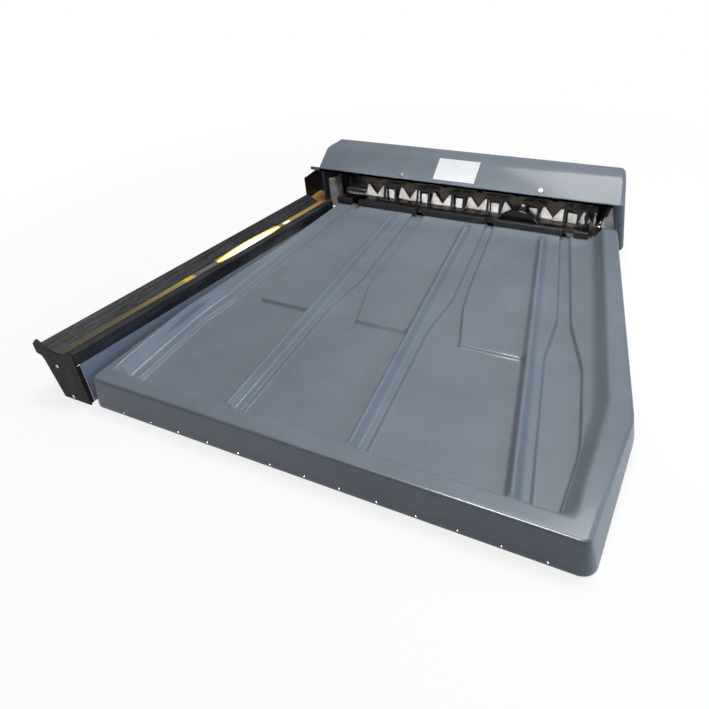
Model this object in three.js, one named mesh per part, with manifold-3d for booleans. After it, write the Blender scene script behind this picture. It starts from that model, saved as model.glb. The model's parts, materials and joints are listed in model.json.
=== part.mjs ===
// Egg grading machine: candling channel, weighing mechanism under a hood and a four-lane collecting tray.
// Millimetres, +X right, +Y towards the hood, +Z up. Outlines are drawn by sight from the front edge.
import * as THREE from "three";
import { mergeVertices } from "three/addons/utils/BufferGeometryUtils.js";
import Module from "manifold-3d";

const wasm = await Module();
wasm.setup();

// Fits and sheet thicknesses
const seatGap = 0.3;
const runGap = 0.8;
const cutOver = 6;
const sheet = 2;
const shellWall = 3;
const screwHeadRadius = 3.2;
const screwHeadHeight = 1.8;
const screwShankRadius = 1.6;
const screwLength = 7;

// Collecting tray
const trayWidth = 717;
const trayLength = 640;
const trayTilt = 3.5;
const skirtFront = 55.7;
const skirtSide = 34;
const skirtFlare = 5.4;
const skirtFlareLeft = 2;
const skirtFlareRight = 4.5;
const skirtFlareCorner = 10.3;
const rimRound = 5;
const rimFrontWidth = 22;
const frontLip = 5;
const basinDepth = 28;
const panelRise = 6;
const ridgeDepth = 12;
const ridgeTopWidth = 5;
const ridgeFoot = 9;
const flankWidth = 10;
const ledgeBack = 29;
const ledgeBulge = 35;
const ledgeFront = 21;
const ledgeFirst = 16;
const stepRun = 3;
const frontWallRun = 14;
const cornerTop = 9;
const cornerFootLeft = 14;
const cornerFootRight = 19;
const cornerSides = 48;

// Candling channel
const infeedX = -56;
const infeedZ = 86;
const infeedTurn = 6.5;
const infeedFall = 2.3;
const infeedReach = 2;
const infeedLength = trayLength + infeedReach;
const stripWidth = 13;
const stripThick = 2.5;
const railHighRun = 26;
const railHighRise = 12;
const railLowRun = 22;
const railLowRise = 9;
const railCrest = 4;
const railSkirt = 21;
const railWall = 4;
const ribStep = 4.5;
const ribHeight = 1.1;
const ribCount = 3;
const lensStart = 332;
const lensLength = 172;
const lensWidth = 24;
const portLength = 20;
const portWidth = 8;
const portGap = 14;
const lampRadius = 7;
const lampDrop = 20;
const lampBoxDepth = 34;
const lampBoxWidth = 40;
const plateThick = 3;
const plateBackY = -6.5;
const plateBottomWidth = 57;
const plateFlange = 8;
const plateCup = 3;
const plateEar = 13;
const plateEarTop = 7;
const plateEarBevel = 9;
const plateEarHeight = 26;
const plateEarRoot = 3;
const plateNeck = 7;
const plateScrewInset = 5;
const sidePanelFoot = 2;
const sidePanelShort = 100;

// Rails, apron and transfer floor. From here on, Y is measured from the tray's rear edge.
const railY = -18;
const railHeight = 12;
const railDepth = 8;
const apronFrontY = -6;
const apronBackY = 25;
const apronFrontZ = 74;
const apronBackZ = 79;
const apronLeftX = 118;
const apronRightX = 606;
const apronFlange = 20;
const transferFrontY = -4;
const transferStepX = 62;
const transferStepY = 6;
const guideX = 32;
const guideY = 24;
const guideRadius = 26;
const guideHeight = 58;
const guideStart = -60;
const guideEnd = 65;
const guardX = -26;
const guardFrontY = 10;
const shelfFrontY = -14;
const shelfLeftX = -14;
const shelfRightX = 40;
const guardBackY = 64;
const guardTop = 104;
const guardBottom = 40;

// Weighing stations
const stationPitch = 71.6;
const firstStationX = 138;
const stationCount = 7;
const seatY = 29;
const seatTopZ = 102;
const seatBottomZ = 78;
const seatWidth = 49;
const seatShift = 1.5;
const seatDraft = 8;
const notchWidth = 30;
const notchTipZ = 81;
const spacerWidth = 16;
const spacerX = 36;
const spacerTop = 97;
const seatBarTop = 66;
const seatBarHeight = 8;
const seatFootDepth = 14;
const pivotY = 60;
const pivotZ = 62;
const pivotRadius = 3;
const leverWidth = 8;
const leverHeight = 7;
const leverDrop = 14;
const leverRear = 68;
const stemBottom = 44;
const weightLength = 16;
const weightWidth = 18;
const weightHeight = 20;
const weightY = 102;

// Transport comb and its drive
const combY = 38;
const combTop = 125;
const combBottom = 78;
const combLeftX = 108;
const combRightX = 572;
const combNotchWidth = 34;
const combNotchTipZ = 109;
const combNotchRound = 4;
const pinZ = 100;
const crankThrow = 12;
const crankRadius = 19;
const crankThick = 5;
const crankPinRadius = 3;
const crankShaftRadius = 5;
const crankLeftX = 174;
const crankRightX = 531;
const motorRadius = 22;
const motorRoom = 17;
const motorDrop = 6;
const gearboxWidth = 50;
const gearboxDepth = 22;
const gearboxTop = 22;
const gearboxBottom = 30;
const bearingRadius = 12;
const bearingDepth = 8;

// Mechanism frame
const backPlateY = 70;
const backPlateTop = 138;
const backPlateBottom = 74;
const sideLeftX = 52;
const sideRightX = 578;
const sideFrontY = 46;
const sideBackInset = 14;
const sideLowTop = 76;
const crossBarRadius = 5;
const crossBarZ = 45;
const crossBarInset = 15;
const armTop = 112;
const armHeight = 5;
const armLeft = 55;
const armRight = 10;
const armY = 19;
const legWidth = 4;
const legLeft = 48;
const legRight = 24;
const legFootWidth = 7;
const legFootHeight = 3;
const legLean = 8;
const stripLow = 0.8;
const stripDepth = 6;
const knobRadius = 5;
const knobHeight = 9;
const knobScrewRadius = 2.2;
const knobScrewLength = 40;
const knobX = 559;
const knobY = 10;
const humpX = 439;
const humpY = -2;
const humpRadius = 41;
const humpSpread = 68;
const gussetX = 586;
const gussetY = 13;
const gussetWidth = 23;
const gussetHeight = 44;
const gussetTip = 4;
const gussetLean = 8;

// Base
const baseFrontY = -60;
const baseBackInset = 18;
const baseHeight = 20;
const footRadius = 13;
const footHeight = 9;
const footInset = 28;
const supportY = -40;
const supportDepth = 6;
const supportLeftX = 124;
const supportRightX = 548;

// Hood
const hoodLipY = 10;
const hoodLipZ = 125;
const hoodLipHeight = 6;
const hoodLipLeftX = -6;
const hoodCreaseY = 53;
const hoodCreaseZ = 162.5;
const hoodTopY = 75;
const hoodTopZ = 168.5;
const hoodFallY = 87;
const hoodFallZ = 166.5;
const hoodRearRun = 14;
const hoodRearZ = 132;
const hoodBackY = 160;
const hoodRearY = hoodBackY - hoodRearRun;
const sideBackY = hoodBackY - sideBackInset;
const baseBackY = hoodBackY - baseBackInset;
const hoodShoulderZ = 112;
const hoodBottomZ = 34;
const hoodFlapZ = 46;
const hoodLeftFaceX = 15;
const hoodLeftStartY = 45;
const hoodLeftTurnY = 72;
const hoodLeftBackX = 32;
const hoodRightLowX = 627;
const hoodRightTopX = 613;
const hoodRightTurnY = 26;
const hoodRightBackIn = 27;
const hoodEndRound = 12;
const mouthRightTopX = 602;
const mouthRightLowX = 623;
const labelWidth = 82;
const labelHeight = 46;
const labelX = 307;
const labelThick = 0.8;
const labelInset = 1.2;
const hoodScrewXs = [199, 473];
const hoodScrewRadius = 4.5;
const hoodScrewInset = 9;
const switchX = 130;
const switchZ = 90;
const switchWidth = 20;
const switchHeight = 28;
const rockerRadius = 26;
const rockerRise = 3;
const inletX = 84;
const inletWidth = 28;
const inletHeight = 22;
const inletDepth = 16;

// Small geometry helpers
const rad = THREE.MathUtils.degToRad;

function solidOf(geometry) {
  const bare = geometry.index ? geometry.toNonIndexed() : geometry.clone();
  const plain = new THREE.BufferGeometry();
  plain.setAttribute("position", bare.getAttribute("position"));
  const merged = mergeVertices(plain, 1e-3);
  const corners = [];
  for (let i = 0; i < merged.index.count; i += 3) {
    const [a, b, c] = [0, 1, 2].map((k) => merged.index.getX(i + k));
    if (a !== b && b !== c && c !== a) corners.push(a, b, c);
  }
  return new wasm.Manifold(new wasm.Mesh({
    numProp: 3,
    vertProperties: merged.attributes.position.array,
    triVerts: new Uint32Array(corners),
  }));
}

function geometryOf(solid) {
  const mesh = solid.getMesh();
  const geometry = new THREE.BufferGeometry();
  geometry.setAttribute("position", new THREE.BufferAttribute(mesh.vertProperties, 3));
  geometry.setIndex(new THREE.BufferAttribute(mesh.triVerts, 1));
  return geometry;
}

const join = (first, ...rest) =>
  geometryOf(rest.reduce((sum, piece) => sum.add(solidOf(piece)), solidOf(first)));
const cut = (first, ...rest) =>
  geometryOf(rest.reduce((left, piece) => left.subtract(solidOf(piece)), solidOf(first)));

function box(x0, x1, y0, y1, z0, z1) {
  return new THREE.BoxGeometry(x1 - x0, y1 - y0, z1 - z0)
    .translate((x0 + x1) / 2, (y0 + y1) / 2, (z0 + z1) / 2);
}

function shapeOf(points) {
  return new THREE.Shape(points.map(([a, b]) => new THREE.Vector2(a, b)));
}

function prismZ(points, z0, z1) {
  const settings = { depth: z1 - z0, bevelEnabled: false };
  return new THREE.ExtrudeGeometry(shapeOf(points), settings).translate(0, 0, z0);
}

// A profile in X and Z, extruded along Y
function prismY(points, y0, y1) {
  return prismZ(points, -y1, -y0).rotateX(Math.PI / 2);
}

// A profile in Y and Z, extruded along X
function prismX(points, x0, x1) {
  return prismZ(points, x0, x1).rotateX(Math.PI / 2).rotateZ(Math.PI / 2);
}

function rodZ(radius, z0, z1, x, y, sides = 16) {
  return new THREE.CylinderGeometry(radius, radius, z1 - z0, sides)
    .rotateX(Math.PI / 2).translate(x, y, (z0 + z1) / 2);
}

function rodY(radius, y0, y1, x, z, sides = 16) {
  return new THREE.CylinderGeometry(radius, radius, y1 - y0, sides).translate(x, (y0 + y1) / 2, z);
}

function rodX(radius, x0, x1, y, z, sides = 16) {
  return new THREE.CylinderGeometry(radius, radius, x1 - x0, sides)
    .rotateZ(Math.PI / 2).translate((x0 + x1) / 2, y, z);
}

// Finishes
function finish(color, roughness, metalness) {
  return new THREE.MeshStandardMaterial({ color, roughness, metalness });
}
const moulded = () => finish(0x5f6d78, 0.42, 0);
const blackPlastic = () => finish(0x17181a, 0.5, 0);
const blackMetal = () => finish(0x1b1a19, 0.45, 0.4);
const brownMetal = () => finish(0x3a332c, 0.4, 0.5);
const whitePlastic = () => finish(0xe8e6e0, 0.45, 0);
const bright = () => finish(0xb9bcbf, 0.3, 1);
const rubber = () => finish(0x141414, 0.9, 0);
const tan = () => finish(0xb98a4e, 0.5, 0);

const machine = new THREE.Group();

function place(name, geometry, material, parent = machine) {
  const mesh = new THREE.Mesh(geometry, material);
  mesh.name = name;
  parent.add(mesh);
  return mesh;
}

// Tray: plan lines as tracks of shares, along the length first and across the width second
function shareAt(shares, v) {
  const at = v / trayLength;
  let k = 1;
  while (k < shares.length - 1 && at > shares[k][0]) k += 1;
  const [[v0, u0], [v1, u1]] = [shares[k - 1], shares[k]];
  return u0 + ((u1 - u0) * (at - v0)) / (v1 - v0);
}
const track = (shares) => (v) => trayWidth * shareAt(shares, v);
const rimLeftShares = [[0, -0.0098], [1, 0.0973]];
const rimLeftInnerShares = [[0, 0.0185], [0.08, 0.0185], [0.303, 0.0325], [1, 0.107]];
const rimFallShares = [[0, 0], [0.303, 0], [0.69, 0.8], [0.927, 1], [1, 1]];
const rimRightShares = [[0, 1.0045], [0.303, 1.0125], [1, 0.856]];
const rimRightInnerShares = [[0, 0.971], [0.331, 0.964], [1, 0.822]];
const wallFootShares = [[0, 0.953], [0.331, 0.942], [1, 0.803]];
const ridgeShares = [
  [[0, 0.036], [0.31, 0.042], [0.42, 0.06], [0.52, 0.0665], [0.61, 0.0773], [0.75, 0.0945], [1, 0.121]],
  [[0, 0.297], [1, 0.286]],
  [[0, 0.576], [1, 0.492]],
  [[0, 0.88], [1, 0.681]],
];
const panelShares = [
  [[0, 0.147], [0.44, 0.147], [0.6, 0.13], [0.8, 0.14], [0.91, 0.158], [1, 0.165]],
  [[0, 0.402], [0.44, 0.402], [0.58, 0.368], [1, 0.358]],
  [[0, 0.646], [0.44, 0.646], [0.575, 0.607], [0.69, 0.59], [1, 0.553]],
  [[0, 0.944], [0.21, 0.94], [0.27, 0.93], [0.45, 0.893], [0.59, 0.84], [1, 0.744]],
];
const bulgeShare = 0.6;
const narrowShare = 0.46;
const panelFrontShare = 0.44;
const fadeShare = 0.958;
const trayEndShare = 0.986;
const rowShares = [0.2, 0.303, 0.331, panelFrontShare, narrowShare, 0.58, 0.63, 0.69, 0.75, 0.8, 0.84,
  0.87, 0.91, 0.927, fadeShare, trayEndShare];

function ledgeWidth(v, k) {
  const at = v / trayLength;
  if (k === 0) return ledgeFirst;
  if (at < narrowShare) return ledgeFront;
  if (at < bulgeShare) {
    return ledgeFront + ((ledgeBulge - ledgeFront) * (at - narrowShare)) / (bulgeShare - narrowShare);
  }
  return ledgeBulge + ((ledgeBack - ledgeBulge) * (at - bulgeShare)) / (1 - bulgeShare);
}

// Each column gives its place across the tray and its height under the rim
function trayColumns() {
  const floor = () => -basinDepth;
  const ledge = () => panelRise - basinDepth;
  const panel = (v) => (v >= panelFrontShare * trayLength ? ledge() : floor());
  const ridgeTop = (v) => (v >= fadeShare * trayLength ? ledge() : -ridgeDepth);
  const rim = () => 0;
  const columns = [
    { u: (v) => track(rimLeftShares)(v) - flareLeft(v), edge: 0 },
    { u: track(rimLeftShares), edge: 1, fall: leftFall },
    { u: (v) => track(rimLeftShares)(v) + rimRound, edge: 2, fall: leftFall },
    { u: track(rimLeftInnerShares), h: leftFall },
  ];
  ridgeShares.forEach((shares, k) => {
    const ridge = track(shares);
    const rise = track(panelShares[k]);
    const ledgeAt = (v) => ridge(v) + ledgeWidth(v, k);
    if (k > 0) {
      columns.push({ u: (v) => ridge(v) - ridgeFoot, h: panel });
      columns.push({ u: (v) => ridge(v) - ridgeTopWidth / 2, h: ridgeTop });
      columns.push({ u: (v) => ridge(v) + ridgeTopWidth / 2, h: ridgeTop });
    }
    columns.push({ u: (v) => ridge(v) + (k > 0 ? flankWidth : 0), h: ledge });
    columns.push({ u: ledgeAt, h: ledge });
    columns.push({ u: (v) => ledgeAt(v) + stepRun, h: floor });
    columns.push({ u: rise, h: floor });
    columns.push({ u: (v) => rise(v) + stepRun, h: k === 3 ? ledge : panel });
  });
  columns.push({ u: track(wallFootShares), h: ledge });
  columns.push({ u: track(rimRightInnerShares), h: rim });
  columns.push({ u: (v) => track(rimRightShares)(v) - rimRound, edge: 2 });
  columns.push({ u: track(rimRightShares), edge: 1 });
  columns.push({ u: (v) => track(rimRightShares)(v) + flareRight(v), edge: 0 });
  return columns;
}

const kinkV = rimRightShares[1][0] * trayLength;

const mix = (a, b, share) => a + (b - a) * share;
const kinkShare = (v) => Math.min(1, Math.max(0, v / kinkV));
const skirtDepth = (v) => mix(skirtFront, skirtSide, kinkShare(v));
const flareLeft = (v) => mix(skirtFlareCorner, skirtFlareLeft, kinkShare(v));
const flareRight = (v) => mix(skirtFlareCorner, skirtFlareRight, kinkShare(v));
const leftFall = (v) => (panelRise - basinDepth) * shareAt(rimFallShares, v);

function trayShell() {
  const columns = trayColumns();
  const rows = [
    { v: -frontLip - skirtFlare, edge: 0 },
    { v: -frontLip, edge: 1 },
    { v: rimRound - frontLip, edge: 2 },
    { v: rimFrontWidth, edge: 3 },
    { v: rimFrontWidth + frontWallRun },
    ...rowShares.map((share) => ({ v: share * trayLength })),
  ];
  const stepRow = rows.findIndex((row) => row.v >= panelFrontShare * trayLength);
  rows.splice(stepRow, 0, { v: rows[stepRow].v - stepRun });
  const edgeHeight = (edge, v) => [-skirtDepth(v), -rimRound, 0, 0][edge];
  const top = rows.map((row) => columns.map((column) => {
    const edge = Math.min(row.edge ?? Infinity, column.edge ?? Infinity);
    const h = edge < Infinity ? edgeHeight(edge, row.v) : column.h(row.v);
    const fall = edge > 0 && column.fall ? column.fall(row.v) : 0;
    return [column.u(row.v), row.v, h + fall];
  }));
  const bottom = rows.map((row) => columns.map((column) => [
    column.u(row.v), row.v, -skirtDepth(row.v),
  ]));
  const points = [];
  const quad = (a, b, c, d) => points.push(...a, ...b, ...c, ...a, ...c, ...d);
  const last = rows.length - 1;
  const side = columns.length - 1;
  for (let i = 0; i < last; i += 1) {
    for (let j = 0; j < side; j += 1) {
      quad(top[i][j], top[i][j + 1], top[i + 1][j + 1], top[i + 1][j]);
      quad(bottom[i][j], bottom[i + 1][j], bottom[i + 1][j + 1], bottom[i][j + 1]);
    }
  }
  for (let j = 0; j < side; j += 1) {
    quad(top[last][j], top[last][j + 1], bottom[last][j + 1], bottom[last][j]);
  }
  const block = new THREE.BufferGeometry();
  block.setAttribute("position", new THREE.BufferAttribute(new Float32Array(points), 3));
  return block;
}

// The hollow under the tray: the space inside the skirt, and deeper grooves under the wide rims
function trayHollow() {
  const left = track(rimLeftShares);
  const right = track(rimRightShares);
  const inner = track(rimRightInnerShares);
  const back = trayLength + cutOver;
  const low = -skirtFront - cutOver;
  const underFloor = -basinDepth - shellWall;
  const plan = [
    [left(0) + shellWall, shellWall - frontLip], [right(0) - shellWall, shellWall - frontLip],
    [right(kinkV) - shellWall, kinkV], [right(back) - shellWall, back], [left(back) + shellWall, back],
  ];
  const groove = [
    [inner(kinkV) + shellWall, rimFrontWidth], [right(0) - rimRound, rimFrontWidth],
    [right(kinkV) - rimRound - shellWall, kinkV], [right(back) - rimRound - shellWall, back],
    [inner(back) + shellWall, back], [inner(kinkV) + shellWall, kinkV],
  ];
  const front = box(left(0) + cornerFootLeft, right(0) - cornerFootRight, rimRound - frontLip,
    rimFrontWidth - shellWall, low, -rimRound - shellWall);
  return [prismZ(plan, low, underFloor), prismZ(groove, low, -rimRound - shellWall), front];
}

// Centre and radius of a front corner's rounding in plan, at a height under the rim
function cornerAt(side, h) {
  const share = -h / skirtFront;
  const radius = mix(cornerTop, side < 0 ? cornerFootLeft : cornerFootRight, share);
  const edge = track(side < 0 ? rimLeftShares : rimRightShares)(0) + side * skirtFlareCorner * share;
  return { x: edge - side * radius, y: radius - frontLip - skirtFlare * share, radius };
}

function cornerCutter(side) {
  const reach = 2 * cornerFootRight;
  const ends = [-skirtFront - cutOver, cutOver].map((h) => ({ h, ...cornerAt(side, h) }));
  const block = ends.flatMap(({ h, x, y }) => [
    [x, y, h], [x + side * reach, y, h], [x + side * reach, y - reach, h], [x, y - reach, h],
  ]);
  const post = ends.flatMap(({ h, x, y, radius }) => Array.from({ length: cornerSides }, (_, k) => {
    const turn = (2 * Math.PI * k) / cornerSides;
    return [x + radius * Math.cos(turn), y + radius * Math.sin(turn), h];
  }));
  return geometryOf(wasm.Manifold.hull(block).subtract(wasm.Manifold.hull(post)));
}

const tray = new THREE.Group();
const tilt = rad(trayTilt);
const rimZ = skirtFront * Math.cos(tilt) + (frontLip + skirtFlare) * Math.sin(tilt);
tray.position.set(0, 0, rimZ);
tray.rotation.x = tilt;
machine.add(tray);
place("tray_shell", cut(trayShell(), ...trayHollow(), cornerCutter(-1), cornerCutter(1)), moulded(), tray);

// Height above the table of a tray surface at a given y, a given depth under the rim
const trayZ = (y, depth) => rimZ + (y - depth * Math.sin(tilt)) * Math.tan(tilt) - depth * Math.cos(tilt);

// Channel: two ribbed rails, a strip between them and a candling lamp under a lens
const infeed = new THREE.Group();
infeed.position.set(infeedX, 0, infeedZ);
infeed.rotation.set(-rad(infeedFall), 0, -rad(infeedTurn), "ZXY");
machine.add(infeed);
const channel = new THREE.Group();
channel.position.set(infeedX, 0, 0);
channel.rotation.z = -rad(infeedTurn);
machine.add(channel);

// A sloping face with square ribs, from its foot to its crest
function ribbedFace(run, rise) {
  const length = Math.hypot(run, rise);
  const along = [run / length, rise / length];
  const points = [];
  for (let k = 0; k < ribCount; k += 1) {
    const start = length - (ribCount - k) * 2 * ribStep;
    [[0, 0], [0, ribHeight], [ribStep, ribHeight], [ribStep, 0]].forEach(([s, up]) => points.push([
      (start + s) * along[0] - up * along[1], (start + s) * along[1] + up * along[0],
    ]));
  }
  return points.filter(([x]) => x > 0);
}

function railProfile(run, rise, foot) {
  return [
    [foot, -stripThick], [foot, 0],
    ...ribbedFace(run, rise).map(([x, z]) => [foot + x, z]),
    [foot + run, rise], [foot + run + railCrest, rise - railCrest / 4],
    [foot + run + railCrest, rise - railSkirt], [foot + run, rise - railSkirt],
    [foot + run, rise - railWall - railCrest], [foot + railWall, -railWall - stripThick],
    [foot - stripThick, -railWall - stripThick], [foot - stripThick, -stripThick],
  ];
}
const railFoot = stripWidth / 2 + seatGap;
const lowRail = railProfile(railLowRun, railLowRise, railFoot);
const highRail = railProfile(railHighRun, railHighRise, railFoot).map(([x, z]) => [-x, z]).reverse();
const railStart = -cutOver - railHighRise;
infeed.updateMatrixWorld(true);
const frontCut = box(-trayWidth, trayWidth, -trayWidth, plateBackY + seatGap, 0, 2 * infeedZ)
  .applyMatrix4(infeed.matrixWorld.clone().invert());

const lensEnd = lensStart + lensLength;
const portStart = lensEnd + portGap;
const portEnd = portStart + portLength;
const stripShelf = -stripThick + seatGap;
const lensHalf = lensWidth / 2;
const lensWindow = box(-lensHalf - seatGap, lensHalf + seatGap, lensStart - seatGap, lensEnd + seatGap,
  -railHighRise, railHighRise);
place("infeed_rail_outer", cut(prismY(highRail, railStart, infeedLength), lensWindow, frontCut),
  blackPlastic(), infeed);
place("infeed_rail_inner", cut(prismY(lowRail, railStart, infeedLength), lensWindow, frontCut),
  blackPlastic(), infeed);
const stripBox = (start, end) => box(-stripWidth / 2, stripWidth / 2, start, end, stripShelf, 0);
place("infeed_floor_strip", cut(stripBox(railStart, lensStart - seatGap), frontCut), tan(), infeed);
place("infeed_end_strip", cut(stripBox(lensEnd + seatGap, infeedLength), box(-portWidth / 2 - seatGap,
  portWidth / 2 + seatGap, portStart - seatGap, portEnd + seatGap, -stripWidth, stripWidth)), tan(), infeed);
place("candling_lens", box(-lensHalf, lensHalf, lensStart, lensEnd, stripShelf, seatGap),
  finish(0xfff8dc, 0.3, 0), infeed);
place("candling_port", box(-portWidth / 2, portWidth / 2, portStart, portEnd, stripShelf, 0),
  finish(0xf2dc7a, 0.3, 0), infeed);
const lampTop = -railWall - stripThick - seatGap;
const lampBottom = lampTop - lampBoxDepth;
const lampStart = lensStart - lensWidth;
const lampEnd = portEnd + lensWidth;
const lampHalf = lampBoxWidth / 2;
const lampBlock = (inset, low, top) => box(-lampHalf + inset, lampHalf - inset, lampStart + inset,
  lampEnd - inset, low, top);
place("candling_lamp_housing", cut(lampBlock(0, lampBottom, lampTop),
  lampBlock(sheet, lampBottom + sheet, lampTop + cutOver)), blackMetal(), infeed);
place("candling_lamp", rodY(lampRadius, lampStart + sheet + seatGap, lampEnd - sheet - seatGap,
  0, lampTop - lampDrop, 12), finish(0xfff6d8, 0.3, 0), infeed);

// Front end plate of the channel, square to the table, with the channel's cup in its top edge
const plateRight = railFoot + railLowRun + railCrest;
const plateLeft = plateRight - plateBottomWidth;
const tipX = -railFoot - railHighRun - railCrest;
const tipZ = infeedZ + railHighRise;
const crestX = railFoot + railLowRun;
const crestZ = infeedZ + railLowRise;
const earTopZ = tipZ + plateEarTop;
const earLowZ = earTopZ - plateEarHeight;
const plateOutline = [
  [plateLeft, 0], [plateRight, 0], [plateRight, crestZ - railCrest], [crestX, crestZ + plateCup],
  [crestX - railCrest, crestZ + plateCup], [railFoot, infeedZ + plateCup], [-railFoot, infeedZ + plateCup],
  [tipX + plateEar, tipZ - plateCup], [tipX, earTopZ], [tipX - plateEarRoot, earTopZ],
  [tipX - plateEar, earTopZ - plateEarBevel], [tipX - plateEar, earLowZ], [tipX - plateEarRoot, earLowZ - plateEarRoot],
  [tipX, earLowZ - plateEarRoot - plateNeck],
].map(([x, z]) => [infeedX + x, z]);
const plateFrontY = plateBackY - plateThick;
const flangeBackY = plateFrontY + plateFlange;
const plateScrewPlaces = [
  ["infeed_screw_upper", infeedX - railFoot - sheet, infeedZ - railSkirt],
  ["infeed_screw_lower", infeedX, plateScrewInset + screwHeadRadius],
];
const hole = ([, x, z]) => rodY(screwShankRadius + seatGap, plateFrontY - cutOver, cutOver, x, z, 12);
const panelRight = plateRight - seatGap;
const panelLeft = panelRight - sheet;
const skirtZ = infeedZ + railLowRise - railSkirt;
const flangeZ = skirtZ - sheet;
place("infeed_front_plate", cut(join(prismY(plateOutline, plateFrontY, plateBackY),
  box(infeedX + panelLeft, infeedX + panelRight, plateFrontY, flangeBackY, sidePanelFoot, flangeZ)),
...plateScrewPlaces.map(hole)), blackMetal());
const screwAlongY = (x, y, z, length) => join(
  rodY(screwHeadRadius, y - screwHeadHeight - seatGap, y - seatGap, x, z, 12),
  rodY(screwShankRadius, y - screwHeadHeight, y + length, x, z, 12));
plateScrewPlaces.forEach(([name, x, z]) =>
  place(name, screwAlongY(x, plateFrontY, z, screwLength), bright()));

// Side panel under the low rail, between the channel and the tray
const panelStart = flangeBackY + runGap + railCrest;
const panelEnd = trayLength - sidePanelShort;
const panelTopAt = (y) => skirtZ - 2 * seatGap - y * Math.tan(rad(infeedFall));
place("infeed_side_panel", prismX([
  [panelStart, sidePanelFoot], [panelEnd, sidePanelFoot],
  [panelEnd, panelTopAt(panelEnd)], [panelStart, panelTopAt(panelStart)],
], panelLeft, panelRight), moulded(), channel);

// Everything behind the tray hangs on its rear edge
const rear = new THREE.Group();
rear.position.y = trayLength;
machine.add(rear);
const placeRear = (name, geometry, material, parent = rear) => place(name, geometry, material, parent);

// Lane rails in front of the apron, with a gap at each channel floor
const railEndShares = [[0.095, 0.142], [0.162, 0.34], [0.357, 0.535], [0.556, 0.734], [0.76, 0.795]];
const railBase = trayZ(trayLength + railY + railDepth, basinDepth - panelRise) + seatGap;
railEndShares.forEach(([left, right], k) => {
  placeRear("lane_rail_" + k, box(left * trayWidth, right * trayWidth, railY, railY + railDepth,
    railBase, railBase + railHeight), blackPlastic());
});

// Apron: a sloping plate from the rails to the seats, turned down at its rear edge
placeRear("apron_plate", prismX([
  [apronFrontY, apronFrontZ - sheet], [apronBackY - sheet, apronBackZ - sheet],
  [apronBackY - sheet, apronBackZ - apronFlange], [apronBackY, apronBackZ - apronFlange],
  [apronBackY, apronBackZ], [apronFrontY, apronFrontZ],
], apronLeftX, apronRightX), brownMetal());
const apronZ = (y) => apronFrontZ + ((apronBackZ - apronFrontZ) * (y - apronFrontY)) /
  (apronBackY - apronFrontY);

// Guard round the channel's end, with a shelf under the rails, and the tan floor on that shelf
const channelEndZ = infeedZ - infeedLength * Math.sin(rad(infeedFall)) - railWall - stripThick;
const shelfTop = channelEndZ - seatGap;
const guardRightX = sideLeftX - seatGap;
const guardWall = (x0, x1, y0, y1, z0, z1) => box(x0, x1, y0, y1, z0, z1);
placeRear("transfer_guard", join(
  guardWall(guardX, guardX + sheet, guardFrontY, guardBackY, guardBottom, guardTop),
  guardWall(guardX, guardRightX, guardBackY - sheet, guardBackY, guardBottom, guardTop),
  guardWall(guardX, guardRightX - sheet, guardFrontY, guardBackY, shelfTop - sheet, shelfTop),
  guardWall(shelfLeftX, shelfRightX, shelfFrontY, guardBackY, shelfTop - sheet, shelfTop)),
blackMetal());
const floorZ = shelfTop + seatGap;
const floorLeft = guardX + sheet + seatGap;
const floorBack = guardBackY - sheet - seatGap;
placeRear("transfer_floor", prismZ([
  [floorLeft, guardFrontY], [shelfLeftX, guardFrontY], [shelfLeftX, transferStepY],
  [transferStepX, transferStepY], [transferStepX, transferFrontY],
  [apronLeftX - seatGap, transferFrontY], [apronLeftX - seatGap, apronBackY - sheet],
  [guardRightX, apronBackY - sheet], [guardRightX, floorBack], [floorLeft, floorBack],
], floorZ, floorZ + sheet), tan());
const guideShape = new THREE.Shape();
guideShape.absarc(0, 0, guideRadius, rad(guideStart), rad(guideEnd), false);
guideShape.absarc(0, 0, guideRadius - sheet, rad(guideEnd), rad(guideStart), true);
placeRear("end_guide", new THREE.ExtrudeGeometry(guideShape, {
  depth: guideHeight, bevelEnabled: false, curveSegments: 14,
}).translate(guideX - 2 * sheet, guideY, floorZ + sheet + seatGap), whitePlastic());

// Stations: white seats with a V notch, every second one a tipping scale pan
const stationX = (k) => firstStationX + k * stationPitch;
function seatOutline(x) {
  const left = x - seatShift - seatWidth / 2;
  const right = left + seatWidth;
  const notch = notchWidth / 2;
  if (x > combRightX - notch) {
    return [
      [left, seatBottomZ], [x + 2 * sheet, seatBottomZ], [x + 2 * sheet, seatTopZ], [x + sheet, seatTopZ],
      [x, notchTipZ], [x - notch, seatTopZ], [left + seatDraft, seatTopZ],
    ];
  }
  return [
    [left, seatBottomZ], [right, seatBottomZ], [right, seatTopZ], [x + notch, seatTopZ], [x, notchTipZ],
    [x - notch, seatTopZ], [left + seatDraft, seatTopZ],
  ];
}
const scaleStations = [1, 3, 5, 6];
const stations = Array.from({ length: stationCount }, (_, k) => k);
const fixedY = apronBackY + seatGap;
const panFloor = footHeight + seatGap + sheet;
const seatBarBottom = seatBarTop - seatBarHeight;
const fixedFront = (points) => prismY(points, fixedY, fixedY + sheet);
const fixedBox = (x0, x1, z0, z1) => box(x0, x1, fixedY, fixedY + sheet, z0, z1);
const fixedSeats = stations.filter((k) => !scaleStations.includes(k)).flatMap((k) => [
  fixedFront(seatOutline(stationX(k))),
  fixedBox(stationX(k) - leverWidth, stationX(k) + leverWidth, seatBarBottom, seatBottomZ + sheet),
]);
const spacers = stations.slice(1).map((k) => fixedBox(stationX(k) - spacerX - spacerWidth / 2,
  stationX(k) - spacerX + spacerWidth / 2, seatBarBottom, spacerTop));
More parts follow.
